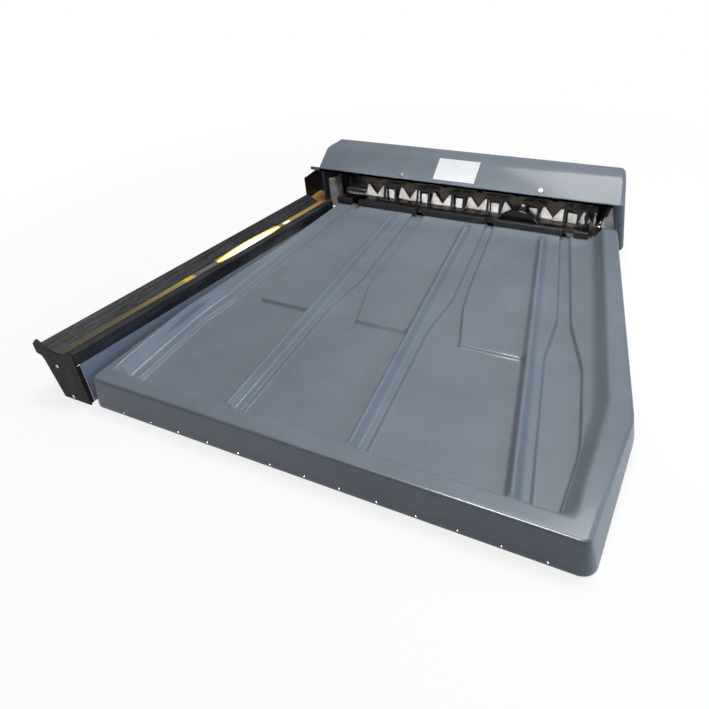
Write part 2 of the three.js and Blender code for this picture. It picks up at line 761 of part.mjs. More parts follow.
const seatLegs = [1, stationCount - 1].flatMap((k) => {
  const x = stationX(k) - spacerX;
  return [fixedBox(x - spacerWidth / 2, x + spacerWidth / 2, panFloor + seatGap, seatBarTop),
    box(x - spacerWidth / 2, x + spacerWidth / 2, fixedY, fixedY + seatFootDepth,
      panFloor + seatGap, panFloor + seatGap + sheet)];
});
placeRear("fixed_seats", join(fixedBox(stationX(0) - leverWidth, stationX(stationCount - 1), seatBarBottom,
  seatBarTop), ...fixedSeats, ...spacers, ...seatLegs), whitePlastic());

// Scale: pan, lever and a sliding counterweight on a common pivot rod
const leverTop = pivotZ + leverHeight / 2;
const leverBottom = pivotZ - leverHeight / 2;
const armFrontY = seatY + sheet + seatGap;
const leverOutline = [
  [armFrontY, leverBottom - leverDrop], [armFrontY + leverDrop, leverBottom - leverDrop],
  [pivotY + pivotRadius, leverBottom], [pivotY + leverRear, leverBottom], [pivotY + leverRear, leverTop],
  [pivotY - pivotRadius, leverTop], [armFrontY + leverDrop - pivotRadius, leverTop - leverDrop],
  [armFrontY, leverTop - leverDrop],
];
scaleStations.forEach((k, n) => {
  const x = stationX(k);
  placeRear("scale_pan_" + n, join(prismY(seatOutline(x), seatY, seatY + sheet),
    box(x - leverWidth / 2, x + leverWidth / 2, seatY, seatY + sheet, stemBottom, seatBottomZ + sheet)),
  whitePlastic());
  const hub = rodX(leverHeight, x - leverWidth / 2, x + leverWidth / 2, pivotY, pivotZ, 20);
  const bore = rodX(pivotRadius + seatGap, x - leverWidth, x + leverWidth, pivotY, pivotZ, 20);
  placeRear("scale_lever_" + n, cut(join(prismX(leverOutline, x - leverWidth / 2, x + leverWidth / 2), hub), bore),
    bright());
  const block = box(x - weightWidth / 2, x + weightWidth / 2, weightY, weightY + weightLength,
    pivotZ - weightHeight / 2, pivotZ + weightHeight / 2);
  const slot = box(x - leverWidth / 2 - seatGap, x + leverWidth / 2 + seatGap, weightY - cutOver,
    weightY + weightLength + cutOver, leverBottom - seatGap, leverTop + seatGap);
  placeRear("scale_weight_" + n, cut(block, slot), finish(0x8d7b45, 0.4, 0.8));
});
placeRear("scale_pivot_rod", rodX(pivotRadius, sideLeftX, sideRightX + sheet, pivotY, pivotZ),
  bright());

// Walking beam: a comb with a V notch over each seat, carried on two crank pins
const combOutline = [
  [combLeftX, combBottom], [combRightX, combBottom], [combRightX, combTop],
  ...stations.slice().reverse().flatMap((k) => [
    [stationX(k) + combNotchWidth / 2, combTop], [stationX(k) + combNotchRound, combNotchTipZ],
    [stationX(k) - combNotchRound, combNotchTipZ], [stationX(k) - combNotchWidth / 2, combTop],
  ]).filter(([x]) => x < combRightX),
  [combLeftX, combTop],
];
const crankPlaces = [["left", crankLeftX], ["right", crankRightX]];
placeRear("walking_beam", cut(prismY(combOutline, combY, combY + sheet),
  ...crankPlaces.map(([, x]) => rodY(crankPinRadius + runGap / 2, combY - cutOver,
    combY + sheet + cutOver, x, pinZ, 20))), brownMetal());
const crankZ = pinZ - crankThrow;
const crankY = combY + sheet + runGap;
crankPlaces.forEach(([side, x]) => {
  placeRear("crank_" + side, join(rodY(crankRadius, crankY, crankY + crankThick, x, crankZ, 32),
    rodY(crankPinRadius, combY - sheet, crankY + sheet, x, pinZ, 20),
    rodY(crankShaftRadius, crankY + sheet, backPlateY + bearingDepth, x, crankZ, 20)), bright());
});

// Back plate with the shaft bearing, and the gear motor behind it
placeRear("mechanism_back_plate", cut(box(sideLeftX + sheet + seatGap, sideRightX - seatGap, backPlateY,
  backPlateY + sheet, backPlateBottom, backPlateTop), ...crankPlaces.map(([, x]) =>
  rodY(crankShaftRadius + 3 * runGap, backPlateY - cutOver, backPlateY + sheet + cutOver, x, crankZ, 24))),
brownMetal());
const bearingY = backPlateY + sheet + seatGap;
placeRear("crank_bearing_left", cut(
  rodY(bearingRadius, bearingY, bearingY + bearingDepth, crankLeftX, crankZ, 24),
  rodY(crankShaftRadius + seatGap, bearingY - cutOver, bearingY + bearingDepth + cutOver,
    crankLeftX, crankZ, 20)), bright());
const gearboxBack = bearingY + gearboxDepth;
placeRear("gearbox", cut(box(crankRightX - gearboxWidth / 2, crankRightX + gearboxWidth / 2, bearingY,
  gearboxBack, crankZ - gearboxBottom, crankZ + gearboxTop),
rodY(crankShaftRadius + seatGap, bearingY - cutOver, bearingY + bearingDepth, crankRightX, crankZ, 20)),
finish(0x9aa0a4, 0.5, 0.6));
placeRear("drive_motor", rodY(motorRadius, gearboxBack + seatGap, hoodBackY - shellWall - motorRoom, crankRightX,
  crankZ - motorDrop, 28), finish(0x2b2d30, 0.5, 0.4));

// Hood section: a closed outline from the lip over the top to the rear foot and the flap's foot
const crownShare = 0.5;
const liftShare = 0.32;
const hoodSection = [
  [hoodLipY, hoodLipZ + hoodLipHeight], [hoodCreaseY, hoodCreaseZ],
  [mix(hoodCreaseY, hoodTopY, crownShare), mix(hoodTopZ, hoodCreaseZ, liftShare)],
  [hoodTopY, hoodTopZ], [hoodFallY, hoodFallZ], [hoodRearY, hoodRearZ],
  [mix(hoodBackY, hoodRearY, liftShare), mix(hoodRearZ, hoodShoulderZ, crownShare)],
  [hoodBackY, hoodShoulderZ], [hoodBackY, hoodBottomZ], [hoodLipY, hoodFlapZ],
];

// The same outline a distance inside itself
function inside(points, depth) {
  const count = points.length;
  const unit = (a, b) => [b[0] - a[0], b[1] - a[1]].map((d) => d / Math.hypot(b[0] - a[0], b[1] - a[1]));
  return points.map((point, k) => {
    const [ay, az] = unit(points[(k + count - 1) % count], point);
    const [by, bz] = unit(point, points[(k + 1) % count]);
    const [ny, nz] = [az + bz, -ay - by];
    const reach = (2 * depth) / (ny * ny + nz * nz);
    return [point[0] + ny * reach, point[1] + nz * reach];
  });
}

// Frame: side plates that follow the hood's inside, with bores for the pivot rod and the cross bar
const plateLine = inside(hoodSection, shellWall + seatGap).slice(3, 6);
const plateBackZ = plateLine[2][1] - (sideBackY - plateLine[2][0]);
function sidePlate(x) {
  const outline = [[sideFrontY, footHeight], [sideBackY, footHeight], [sideBackY, plateBackZ],
    ...plateLine.slice().reverse(), [plateLine[0][0], sideLowTop], [sideFrontY, sideLowTop]];
  const bores = [[pivotY, pivotZ, pivotRadius], [sideBackY - crossBarInset, crossBarZ, crossBarRadius]];
  return cut(prismX(outline, x, x + sheet), ...bores.map(([y, z, radius]) =>
    rodX(radius + seatGap, x - cutOver, x + sheet + cutOver, y, z, 20)));
}
placeRear("side_plate_left", sidePlate(sideLeftX), blackMetal());
placeRear("side_plate_right", sidePlate(sideRightX), blackMetal());
placeRear("rear_cross_bar", rodX(crossBarRadius, sideLeftX - sheet, sideRightX + 2 * sheet,
  sideBackY - crossBarInset, crossBarZ), bright());

// Black arms in front of the seats, on legs that stand on a thin strip on the apron
const legBottom = apronZ(armY - legLean) + seatGap;
const guardStripBack = armY - legLean - sheet + stripDepth;
const guardStripZ = apronZ(guardStripBack) + seatGap;
const legTop = armTop - armHeight;
const legOutline = [[armY - legLean - sheet, legBottom], [armY - legLean, legBottom], [armY, legTop],
  [armY, armTop - sheet], [armY - sheet, armTop - sheet], [armY - sheet, legTop]];
const armFront = (x0, x1, z0, z1) => box(x0, x1, armY - sheet, armY, z0, z1);
const arms = stations.slice(1).flatMap((k) => {
  const x = stationX(k);
  return [
    armFront(x - armLeft, x - armRight, armTop - armHeight, armTop),
    ...[legLeft, legRight].flatMap((shift) => [
      prismX(legOutline, x - shift - legWidth / 2, x - shift + legWidth / 2),
      box(x - shift - legFootWidth / 2, x - shift + legFootWidth / 2, armY - legLean - sheet, armY - legLean,
        legBottom, legBottom + legFootHeight),
    ]),
  ];
});
placeRear("seat_guard", join(box(stationX(1) - armLeft, knobX - knobRadius - seatGap,
  armY - legLean - sheet, guardStripBack, guardStripZ, guardStripZ + stripLow), ...arms), blackPlastic());

// Arched hump on the apron, end gusset, and the upright adjusting screw with its nut
const humpShape = new THREE.Shape();
humpShape.absarc(0, 0, humpRadius, rad(90 - humpSpread), rad(90 + humpSpread), false);
const humpChord = humpRadius * Math.cos(rad(humpSpread));
placeRear("apron_hump", new THREE.ExtrudeGeometry(humpShape, {
  depth: railDepth, bevelEnabled: false, curveSegments: 14,
}).translate(0, -humpChord, 0).rotateX(Math.PI / 2).translate(humpX, humpY + railDepth,
  apronZ(humpY + railDepth) + seatGap), blackPlastic());
const gussetBase = apronZ(gussetY + shellWall) + seatGap;
placeRear("end_gusset", prismY([[gussetX, gussetBase], [gussetX + gussetWidth, gussetBase],
  [gussetX + gussetWidth - gussetLean, gussetBase + gussetHeight],
  [gussetX + gussetWidth - gussetLean - gussetTip, gussetBase + gussetHeight]], gussetY, gussetY + shellWall),
finish(0xd9d4c2, 0.5, 0));
const knobBase = apronZ(knobY + knobRadius) + seatGap;
placeRear("adjusting_screw", join(rodZ(knobRadius, knobBase, knobBase + knobHeight, knobX, knobY, 16),
  rodZ(knobScrewRadius, knobBase + sheet, knobBase + knobScrewLength, knobX, knobY, 12),
  rodZ(knobRadius - sheet / 2, knobBase + 2 * knobHeight, knobBase + 3 * knobHeight, knobX, knobY, 6)),
blackPlastic());

// Base: pan, tray support and rear feet
const panZ = footHeight + seatGap;
const baseLeftX = sideLeftX + sheet + seatGap;
const baseRightX = sideRightX - seatGap;
placeRear("base_pan", cut(box(baseLeftX, baseRightX, baseFrontY, baseBackY, panZ, panZ + baseHeight),
  box(baseLeftX + sheet, baseRightX - sheet, baseFrontY + sheet, baseBackY - sheet,
    panFloor, panZ + baseHeight + cutOver)), blackMetal());
[["left", baseLeftX + footInset], ["right", baseRightX - footInset]].forEach(([side, x]) =>
  placeRear("rubber_foot_" + side, rodZ(footRadius, 0, footHeight, x, baseBackY - footInset, 24), rubber()));
const underTray = (y) => trayZ(trayLength + y, basinDepth + shellWall) - seatGap;
placeRear("tray_support", prismX([
  [supportY, panFloor + seatGap], [supportY + supportDepth, panFloor + seatGap],
  [supportY + supportDepth, underTray(supportY + supportDepth)], [supportY, underTray(supportY)],
], supportLeftX, supportRightX), blackMetal());

// Hood: rings of the outline from end to end, with a skewed left end and a rounded, flared right end
function hoodLeft(y) {
  const share = Math.min(1, Math.max(0, (y - hoodLeftStartY) / (hoodLeftTurnY - hoodLeftStartY)));
  return mix(hoodLeftFaceX, hoodLeftBackX, share);
}
function hoodRight(y, z) {
  const flare = (hoodRightLowX - hoodRightTopX) * ((z - hoodFlapZ) / (hoodTopZ - hoodFlapZ));
  const turn = Math.max(0, y - hoodRightTurnY) / (hoodBackY - hoodRightTurnY);
  return hoodRightLowX - flare - hoodRightBackIn * turn;
}
function hoodSolid(depth) {
  const round = hoodEndRound - depth;
  const turns = [0, 30, 60, 90].map(rad);
  const ring = (x, inset) => inside(hoodSection, depth + inset).map(([y, z], k, all) => {
    const below = depth > 0 && k >= all.length - 2;
    return [x(y, z), y, below ? z - 2 * cutOver - inset - depth : z];
  });
  const rings = [ring((y) => hoodLeft(y) + depth, 0), ...turns.map((turn) => ring(
    (y, z) => hoodRight(y, z) - depth - round * (1 - Math.sin(turn)), round * (1 - Math.cos(turn)),
  ))];
  const outline = inside(hoodSection, depth);
  const flat = outline.map(([y, z]) => new THREE.Vector2(y, z));
  const points = [];
  rings.slice(1).forEach((after, k) => outline.forEach((_, j) => {
    const next = (j + 1) % outline.length;
    const [a, b, c, d] = [rings[k][j], rings[k][next], after[next], after[j]];
    points.push(...a, ...c, ...b, ...a, ...d, ...c);
  }));
  THREE.ShapeUtils.triangulateShape(flat, []).forEach(([a, b, c]) => {
    points.push(...rings[0][a], ...rings[0][c], ...rings[0][b]);
    points.push(...rings.at(-1)[a], ...rings.at(-1)[b], ...rings.at(-1)[c]);
  });
  const block = new THREE.BufferGeometry();
  block.setAttribute("position", new THREE.BufferAttribute(new Float32Array(points), 3));
  return block;
}
const mouthLow = hoodBottomZ - 4 * cutOver;
const mouthLeft = hoodLipLeftX - cutOver;
const mouth = prismY([[mouthLeft, mouthLow], [mouthRightLowX, mouthLow], [mouthRightLowX, hoodFlapZ],
  [mouthRightTopX, hoodLipZ], [mouthLeft, hoodLipZ]], hoodLipY - cutOver, hoodLipY + cutOver);
const leftOpening = box(mouthLeft, hoodLeftBackX + 2 * shellWall, hoodLipY - cutOver, hoodLeftTurnY,
  mouthLow, hoodLipZ);
const switchHole = box(switchX - switchWidth / 2 - seatGap, switchX + switchWidth / 2 + seatGap,
  hoodBackY - 2 * cutOver, hoodBackY + cutOver, switchZ - switchHeight / 2 - seatGap,
  switchZ + switchHeight / 2 + seatGap);
const inletHole = box(inletX - inletWidth / 2 - seatGap, inletX + inletWidth / 2 + seatGap,
  hoodBackY - 2 * cutOver, hoodBackY + cutOver, switchZ - inletHeight / 2 - seatGap,
  switchZ + inletHeight / 2 + seatGap);

// Parts of the sloping face are drawn flat and turned onto it
const faceRun = hoodCreaseY - hoodLipY;
const faceRise = hoodCreaseZ - hoodLipZ - hoodLipHeight;
const face = new THREE.Group();
face.position.set(0, hoodLipY, hoodLipZ + hoodLipHeight);
face.rotation.x = Math.atan2(faceRise, faceRun);
rear.add(face);
face.updateMatrix();
const screwHole = (x) => rodZ(screwShankRadius + seatGap, -2 * cutOver, cutOver, x, hoodScrewInset, 12)
  .applyMatrix4(face.matrix);
placeRear("hood_shell", cut(join(cut(hoodSolid(0), hoodSolid(shellWall)),
  box(hoodLipLeftX, mouthRightTopX, hoodLipY, hoodLipY + shellWall, hoodLipZ, hoodLipZ + hoodLipHeight)),
mouth, leftOpening, switchHole, inletHole, ...hoodScrewXs.map(screwHole)), moulded());
["left", "right"].forEach((side, k) => {
  const x = hoodScrewXs[k];
  placeRear("hood_screw_" + side, join(
    rodZ(hoodScrewRadius, seatGap, seatGap + screwHeadHeight, x, hoodScrewInset, 16),
    rodZ(screwShankRadius, -screwLength, screwHeadHeight, x, hoodScrewInset, 12)), bright(), face);
});

// Blank plate on the hood's sloping face
const faceLength = Math.hypot(faceRun, faceRise);
const labelLow = faceLength - labelHeight - labelInset;
placeRear("label_plate", box(labelX - labelWidth / 2, labelX + labelWidth / 2, labelLow, labelLow + labelHeight,
  seatGap, seatGap + labelThick), finish(0xf4f5f6, 0.35, 0), face);

// Rocker switch and power inlet in the hood's back
const rockerShape = new THREE.Shape();
const rockerHalf = Math.asin(switchHeight / 2 / rockerRadius);
rockerShape.absarc(0, 0, rockerRadius, -rockerHalf, rockerHalf, false);
rockerShape.lineTo(rockerRadius * Math.cos(rockerHalf) - shellWall - sheet, 0);
placeRear("rocker_switch", new THREE.ExtrudeGeometry(rockerShape, {
  depth: switchWidth, bevelEnabled: false, curveSegments: 10,
}).translate(rockerRise - rockerRadius, 0, -switchWidth / 2).rotateY(-Math.PI / 2).rotateX(-Math.PI / 2)
  .translate(switchX, hoodBackY, switchZ), blackPlastic());
placeRear("power_inlet", cut(box(inletX - inletWidth / 2, inletX + inletWidth / 2, hoodBackY - inletDepth,
  hoodBackY + sheet / 2, switchZ - inletHeight / 2, switchZ + inletHeight / 2),
box(inletX - inletWidth / 2 + sheet, inletX + inletWidth / 2 - sheet, hoodBackY - inletDepth + sheet,
  hoodBackY + cutOver, switchZ - inletHeight / 2 + sheet, switchZ + inletHeight / 2 - sheet)), blackPlastic());

// The origin is the middle of the box's underside
machine.updateMatrixWorld(true);
const bounds = new THREE.Box3().setFromObject(machine, true);
const middle = bounds.getCenter(new THREE.Vector3());
machine.position.set(-middle.x, -middle.y, -bounds.min.z);
machine.updateMatrixWorld(true);

export default machine;
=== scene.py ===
import json
import math

import bmesh
import bpy
import numpy as np
from bpy.props import FloatProperty, FloatVectorProperty, PointerProperty
from mathutils import Matrix, Vector

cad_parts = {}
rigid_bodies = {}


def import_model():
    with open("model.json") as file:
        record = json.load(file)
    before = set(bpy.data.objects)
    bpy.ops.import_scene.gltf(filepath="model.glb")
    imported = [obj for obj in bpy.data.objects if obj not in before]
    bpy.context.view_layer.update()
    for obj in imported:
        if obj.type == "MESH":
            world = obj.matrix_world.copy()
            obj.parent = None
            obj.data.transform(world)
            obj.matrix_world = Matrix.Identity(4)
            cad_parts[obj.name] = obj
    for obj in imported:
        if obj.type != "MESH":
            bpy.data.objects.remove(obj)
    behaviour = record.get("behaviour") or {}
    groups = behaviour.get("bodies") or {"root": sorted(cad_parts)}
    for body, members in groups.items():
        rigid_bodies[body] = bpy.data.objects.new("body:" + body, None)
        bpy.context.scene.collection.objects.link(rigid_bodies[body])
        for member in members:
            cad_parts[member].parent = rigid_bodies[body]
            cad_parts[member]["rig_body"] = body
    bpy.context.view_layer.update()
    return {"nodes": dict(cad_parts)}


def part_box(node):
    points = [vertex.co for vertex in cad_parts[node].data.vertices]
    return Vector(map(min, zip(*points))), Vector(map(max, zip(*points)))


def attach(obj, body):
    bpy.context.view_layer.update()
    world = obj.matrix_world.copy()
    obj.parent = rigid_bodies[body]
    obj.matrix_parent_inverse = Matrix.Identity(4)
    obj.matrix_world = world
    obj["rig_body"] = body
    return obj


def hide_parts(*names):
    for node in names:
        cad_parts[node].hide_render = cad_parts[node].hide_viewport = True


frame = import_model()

bl_info = {
    "name": "Egg grading machine looks",
    "version": (1, 0, 0),
    "blender": (4, 5, 0),
    "location": "View3D > Sidebar > Grader",
    "description": "Dresses the packed egg grading machine: tray, channel, seats and hood",
    "category": "Object",
}

# Everything below is drawn in millimetres from the tray's front left corner, at floor height
MM = 0.001
PAN_LEFT = 54.3
PAN_FRONT = 580.0
PAN_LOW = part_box("base_pan")[0]
SHIFT = Vector((PAN_LOW.x - PAN_LEFT * MM, PAN_LOW.y - PAN_FRONT * MM, 0.0))
BODY_OF = {name: node["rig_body"] for name, node in frame["nodes"].items()}


def at(x, y, z):
    """A drawn point in the row frame, in metres."""
    return Vector((x, y, z)) * MM + SHIFT


def hexcol(text):
    """A six-figure screen colour as linear red, green, blue and alpha."""
    parts = [int(text[i:i + 2], 16) / 255 for i in (0, 2, 4)]
    return tuple(c / 12.92 if c <= 0.04045 else ((c + 0.055) / 1.055) ** 2.4 for c in parts) + (1.0,)


# Shader expressions

class Socket:
    """A shader output that turns Python arithmetic into Math nodes."""

    def __init__(self, paint, socket):
        self.paint, self.socket = paint, socket

    def __add__(self, other):
        return self.paint.maths("ADD", self, other)

    def __mul__(self, other):
        return self.paint.maths("MULTIPLY", self, other)

    def __truediv__(self, other):
        return self.paint.maths("DIVIDE", self, other)


# Places of the Mix node's colour inputs and output
MIX_SHARE, MIX_FIRST, MIX_SECOND, MIX_RESULT = 0, 6, 7, 2


class Paint:
    """One node material, built by expressions."""

    def __init__(self, name, tree=None):
        if tree is None:
            self.material = bpy.data.materials.new(name)
            self.material.use_nodes = True
            tree = self.material.node_tree
        self.tree = tree
        self.tree.nodes.clear()

    def node(self, kind, settings=None, inputs=None, output=0):
        """Adds one node with its settings and inputs, and gives the named output."""
        made = self.tree.nodes.new("ShaderNode" + kind)
        for name, value in (settings or {}).items():
            if name == "stops":
                ramp = made.color_ramp
                while len(ramp.elements) < len(value):
                    ramp.elements.new(0.5)
                for element, (place, colour) in zip(ramp.elements, value):
                    element.position, element.color = place, colour
            else:
                setattr(made, name, value)
        for name, value in (inputs or {}).items():
            if isinstance(value, Socket):
                self.tree.links.new(value.socket, made.inputs[name])
            else:
                made.inputs[name].default_value = value
        return Socket(self, made.outputs[output])

    def maths(self, operation, *values):
        return self.node("Math", {"operation": operation}, dict(enumerate(values)))

    def place(self):
        """Object coordinates: metres in the row frame."""
        return self.node("TexCoord", output="Object")

    def noise(self, scale, detail, stretch=None, turn=0.0):
        """Noise of a scale per metre, drawn out by stretch along axes turned about the vertical."""
        source = self.place()
        if stretch:
            source = self.node("Mapping", {"vector_type": "TEXTURE"},
                               {"Vector": source, "Rotation": (0, 0, -turn), "Scale": stretch})
        return self.node("TexNoise", {}, {"Vector": source, "Scale": scale, "Detail": detail,
                                          "Roughness": 0.6}, "Fac")

    def ramp(self, value, low, high, start=0.0, end=1.0):
        """A value that rises from start, at low and under it, to end, at high and over it."""
        return self.node("MapRange", {"clamp": True}, {"Value": value, "From Min": low, "From Max": high,
                                                       "To Min": start, "To Max": end})

    def blend(self, share, first, second):
        return self.node("Mix", {"data_type": "RGBA"},
                         {MIX_SHARE: share, MIX_FIRST: first, MIX_SECOND: second}, MIX_RESULT)

    def bump(self, height, strength, distance):
        return self.node("Bump", {}, {"Height": height, "Strength": strength, "Distance": distance})

    def axis(self, name, vector=None):
        return self.node("SeparateXYZ", {}, {0: vector or self.place()}, name)

    def finish(self, base, roughness, **more):
        """Ends in a principled shader; further inputs are named with underscores."""
        inputs = {"Base Color": base, "Roughness": roughness}
        inputs.update({name.replace("_", " "): value for name, value in more.items()})
        self.surface(self.node("BsdfPrincipled", {}, inputs, "BSDF"))
        return self.material

    def surface(self, shader):
        out = self.tree.nodes.new("ShaderNodeOutputMaterial")
        self.tree.links.new(shader.socket, out.inputs["Surface"])


# Materials

def moulded(looks):
    """Blue-grey moulded plastic: faint clouds of tone, a fine orange peel and a satin gloss."""
    paint = Paint("moulded_grey")
    clouds = paint.ramp(paint.noise(9, 3), 0.35, 0.7)
    grain = paint.noise(420, 2)
    scuffs = paint.ramp(paint.noise(60, 5), 0.6, 0.8)
    tone = paint.blend(clouds, looks.moulded_dark, looks.moulded_light)
    tone = paint.blend(scuffs * 0.18, tone, hexcol("93999f"))
    tone = paint.blend(paint.ramp(grain, 0.45, 0.75) * 0.12, tone, hexcol("4d565f"))
    return paint.finish(tone, paint.ramp(paint.noise(14, 4), 0.3, 0.7, 0.4, 0.5) + scuffs * 0.12,
                        Normal=paint.bump(grain, 0.1, 0.0003), Coat_Weight=0.35, Coat_Roughness=0.13,
                        Specular_IOR_Level=0.35)


def ribbed_black(turn):
    """Worn black extrusion with fine lines that run along the channel."""
    paint = Paint("ribbed_black")
    streaks = paint.noise(260, 4, stretch=(1, 50, 1), turn=turn)
    fine = paint.noise(900, 2, stretch=(1, 90, 1), turn=turn)
    dust = paint.ramp(paint.noise(18, 5), 0.45, 0.75)
    tone = paint.blend(paint.ramp(streaks, 0.42, 0.72), hexcol("0f1013"), hexcol("282a2e"))
    tone = paint.blend(dust * 0.25, tone, hexcol("54585e"))
    tone = paint.blend(paint.ramp(fine, 0.56, 0.72) * 0.5, tone, hexcol("5c6068"))
    return paint.finish(tone, paint.ramp(streaks, 0.3, 0.7, 0.3, 0.5), Specular_IOR_Level=0.4,
                        Normal=paint.bump(fine, 0.45, 0.0004))


def black_plastic():
    """Satin black plastic with a light dusting."""
    paint = Paint("black_plastic")
    dust = paint.ramp(paint.noise(70, 5), 0.5, 0.8)
    tone = paint.blend(dust * 0.4, hexcol("121315"), hexcol("34373b"))
    return paint.finish(tone, paint.ramp(paint.noise(40, 3), 0.3, 0.7, 0.3, 0.48),
                        Normal=paint.bump(paint.noise(500, 2), 0.1, 0.0003))


def painted_metal(name, dark, light, rough_low, rough_high):
    """Painted sheet: brushed-in variation of tone and gloss, with grime."""
    paint = Paint(name)
    clouds = paint.ramp(paint.noise(35, 4), 0.35, 0.7)
    grime = paint.ramp(paint.noise(120, 5), 0.55, 0.8)
    tone = paint.blend(clouds, hexcol(dark), hexcol(light))
    tone = paint.blend(grime * 0.35, tone, hexcol("0e0d0c"))
    return paint.finish(tone, paint.ramp(clouds, 0.0, 1.0, rough_low, rough_high), Metallic=0.25,
                        Normal=paint.bump(paint.noise(380, 3), 0.08, 0.0003), Coat_Weight=0.3)


def end_plate():
    """Dull brown-black paint with faint scratches."""
    paint = Paint("end_plate")
    scratch = paint.noise(90, 5, stretch=(1, 1, 6))
    tone = paint.blend(paint.ramp(scratch, 0.4, 0.7), hexcol("141110"), hexcol("201b19"))
    return paint.finish(tone, paint.ramp(scratch, 0.3, 0.7, 0.5, 0.65), Specular_IOR_Level=0.2,
                        Normal=paint.bump(scratch, 0.06, 0.0003))


def white_plastic():
    """Milky white plastic, toned down to grey as painted shade under the hood, and stained brown at its
    upper edges.
    """
    paint = Paint("white_plastic")
    height = paint.axis("Z")
    edge = paint.ramp(height, 92 * MM, 103 * MM)
    stain = paint.ramp(paint.noise(110, 5), 0.42, 0.68)
    # The grey of these two tones is partly painted shade: the seats and pans sit shaded under the hood
    tone = paint.blend(paint.ramp(paint.noise(50, 3), 0.3, 0.7), hexcol("cdcecf"), hexcol("a5a4a2"))
    tone = paint.blend(edge * stain, tone, hexcol("8a6a48"))
    tone = paint.blend(paint.ramp(paint.noise(260, 4), 0.55, 0.8) * 0.35, tone, hexcol("6f6a60"))
    return paint.finish(tone, paint.ramp(stain, 0, 1, 0.32, 0.5),
                        Normal=paint.bump(paint.noise(300, 2), 0.08, 0.0003))


def steel(name, colour, rough):
    """Bright machined metal with fine scratches."""
    paint = Paint(name)
    scratch = paint.noise(700, 4, stretch=(1, 9, 1))
    tone = paint.blend(paint.ramp(paint.noise(80, 4), 0.4, 0.75) * 0.5, hexcol(colour), hexcol("6d6a66"))
    return paint.finish(tone, paint.ramp(scratch, 0.3, 0.7, rough, rough + 0.16), Metallic=1.0,
                        Normal=paint.bump(scratch, 0.08, 0.0002))


def tan_strip():
    """Olive strip with painted lamp glow: it turns yellow towards a bright painted glow at a notch, is
    grey-brown behind it and warm yellow again towards its rear.
    """
    paint = Paint("tan_strip")
    along = paint.ramp(paint.axis("Y"), at(0, 0, 0).y, at(0, TRAY_LENGTH, 0).y)
    # Painted lamp glow: the bright yellow stops at the notch and the warm yellow near the rear stand for
    # lamp light on the strip's own olive and grey-brown
    stops = [(0.0, "544b3c"), (0.2, "6b5f45"), (0.35, "9a8a52"), (0.383, "b39c4c"), (0.39, "e6c540"),
             (0.42, "dcb93c"), (0.426, "6a645c"), (0.5, "746d66"), (0.79, "86764f"), (0.84, "b9934a"),
             (1.0, "b98a4e")]
    tone = paint.node("ValToRGB", {"stops": [(place, hexcol(colour)) for place, colour in stops]},
                      {"Fac": along}, "Color")
    stain = paint.ramp(paint.noise(90, 5), 0.4, 0.75)
    tone = paint.blend(stain * 0.35, tone, hexcol("4c4434"))
    return paint.finish(tone, paint.ramp(stain, 0, 1, 0.25, 0.45),
                        Normal=paint.bump(paint.noise(350, 3), 0.1, 0.0003))


def tan_floor_lamp_glow():
    """Tan sheet, glossy and a little stained; its warm tan is partly its own colour and partly painted warm
    lamp light.
    """
    paint = Paint("tan_floor_lamp_glow")
    stain = paint.ramp(paint.noise(70, 5), 0.45, 0.75)
    # Warm tan: the sheet's own colour with painted warm lamp light in it; the darker noise is real staining
    tone = paint.blend(stain * 0.6, hexcol("c89a55"), hexcol("7a5c33"))
    return paint.finish(tone, paint.ramp(stain, 0, 1, 0.25, 0.5),
                        Normal=paint.bump(paint.noise(250, 3), 0.1, 0.0003))


def lit(name, strength, centre, half_width, half_length):
    """A lit window: white along its middle, yellow towards its edges and pointed towards its ends."""
    paint = Paint(name)
    turned = paint.node("Mapping", {"vector_type": "TEXTURE"},
                        {"Vector": paint.place(), "Location": centre, "Rotation": (0, 0, -CHANNEL_TURN)})
    across = paint.maths("ABSOLUTE", paint.axis("X", turned)) / half_width
    along = paint.maths("ABSOLUTE", paint.axis("Y", turned)) / half_length
    reach = across + along * along * 0.8 + paint.noise(120, 2) * 0.12
    glow = paint.blend(paint.ramp(reach, 0.62, 0.92), hexcol("fffdf0"), hexcol("ffd748"))
    shown = paint.ramp(reach, 0.98, 1.25)
    colour = paint.blend(shown, glow, hexcol("5a4a1e"))
    return paint.finish(colour, 0.3, Emission_Color=colour, Emission_Strength=strength)


def rubber():
    """Matt black rubber."""
    paint = Paint("rubber")
    grain = paint.noise(300, 4)
    tone = paint.blend(grain, hexcol("101010"), hexcol("262626"))
    return paint.finish(tone, paint.ramp(grain, 0.3, 0.7, 0.75, 0.92), Normal=paint.bump(grain, 0.3, 0.0004))


def label_white():
    """Blank glossy white plate with a slight yellowing."""
    paint = Paint("label_white")
    tone = paint.blend(paint.ramp(paint.noise(60, 3), 0.4, 0.7), hexcol("f4f6f8"), hexcol("e9ecef"))
    return paint.finish(tone, paint.ramp(paint.noise(30, 3), 0.3, 0.7, 0.2, 0.32), Coat_Weight=0.4)


def side_panel():
    """Pale blue-grey moulded panel."""
    paint = Paint("side_panel")
    tone = paint.blend(paint.ramp(paint.noise(12, 3), 0.3, 0.7), hexcol("7e8796"), hexcol("8b94a4"))
    return paint.finish(tone, paint.ramp(paint.noise(20, 3), 0.3, 0.7, 0.35, 0.5), Coat_Weight=0.2,
                        Normal=paint.bump(paint.noise(420, 2), 0.1, 0.0003))


def cream_plastic():
    """Cream plastic."""
    paint = Paint("cream_plastic")
    tone = paint.blend(paint.ramp(paint.noise(80, 4), 0.4, 0.7), hexcol("dcdacb"), hexcol("c2bfae"))
    return paint.finish(tone, paint.ramp(paint.noise(50, 3), 0.3, 0.7, 0.35, 0.5),
                        Normal=paint.bump(paint.noise(300, 2), 0.08, 0.0003))


# Mesh helpers
WELD = 1e-6
FLAT_ANGLE = math.radians(1)


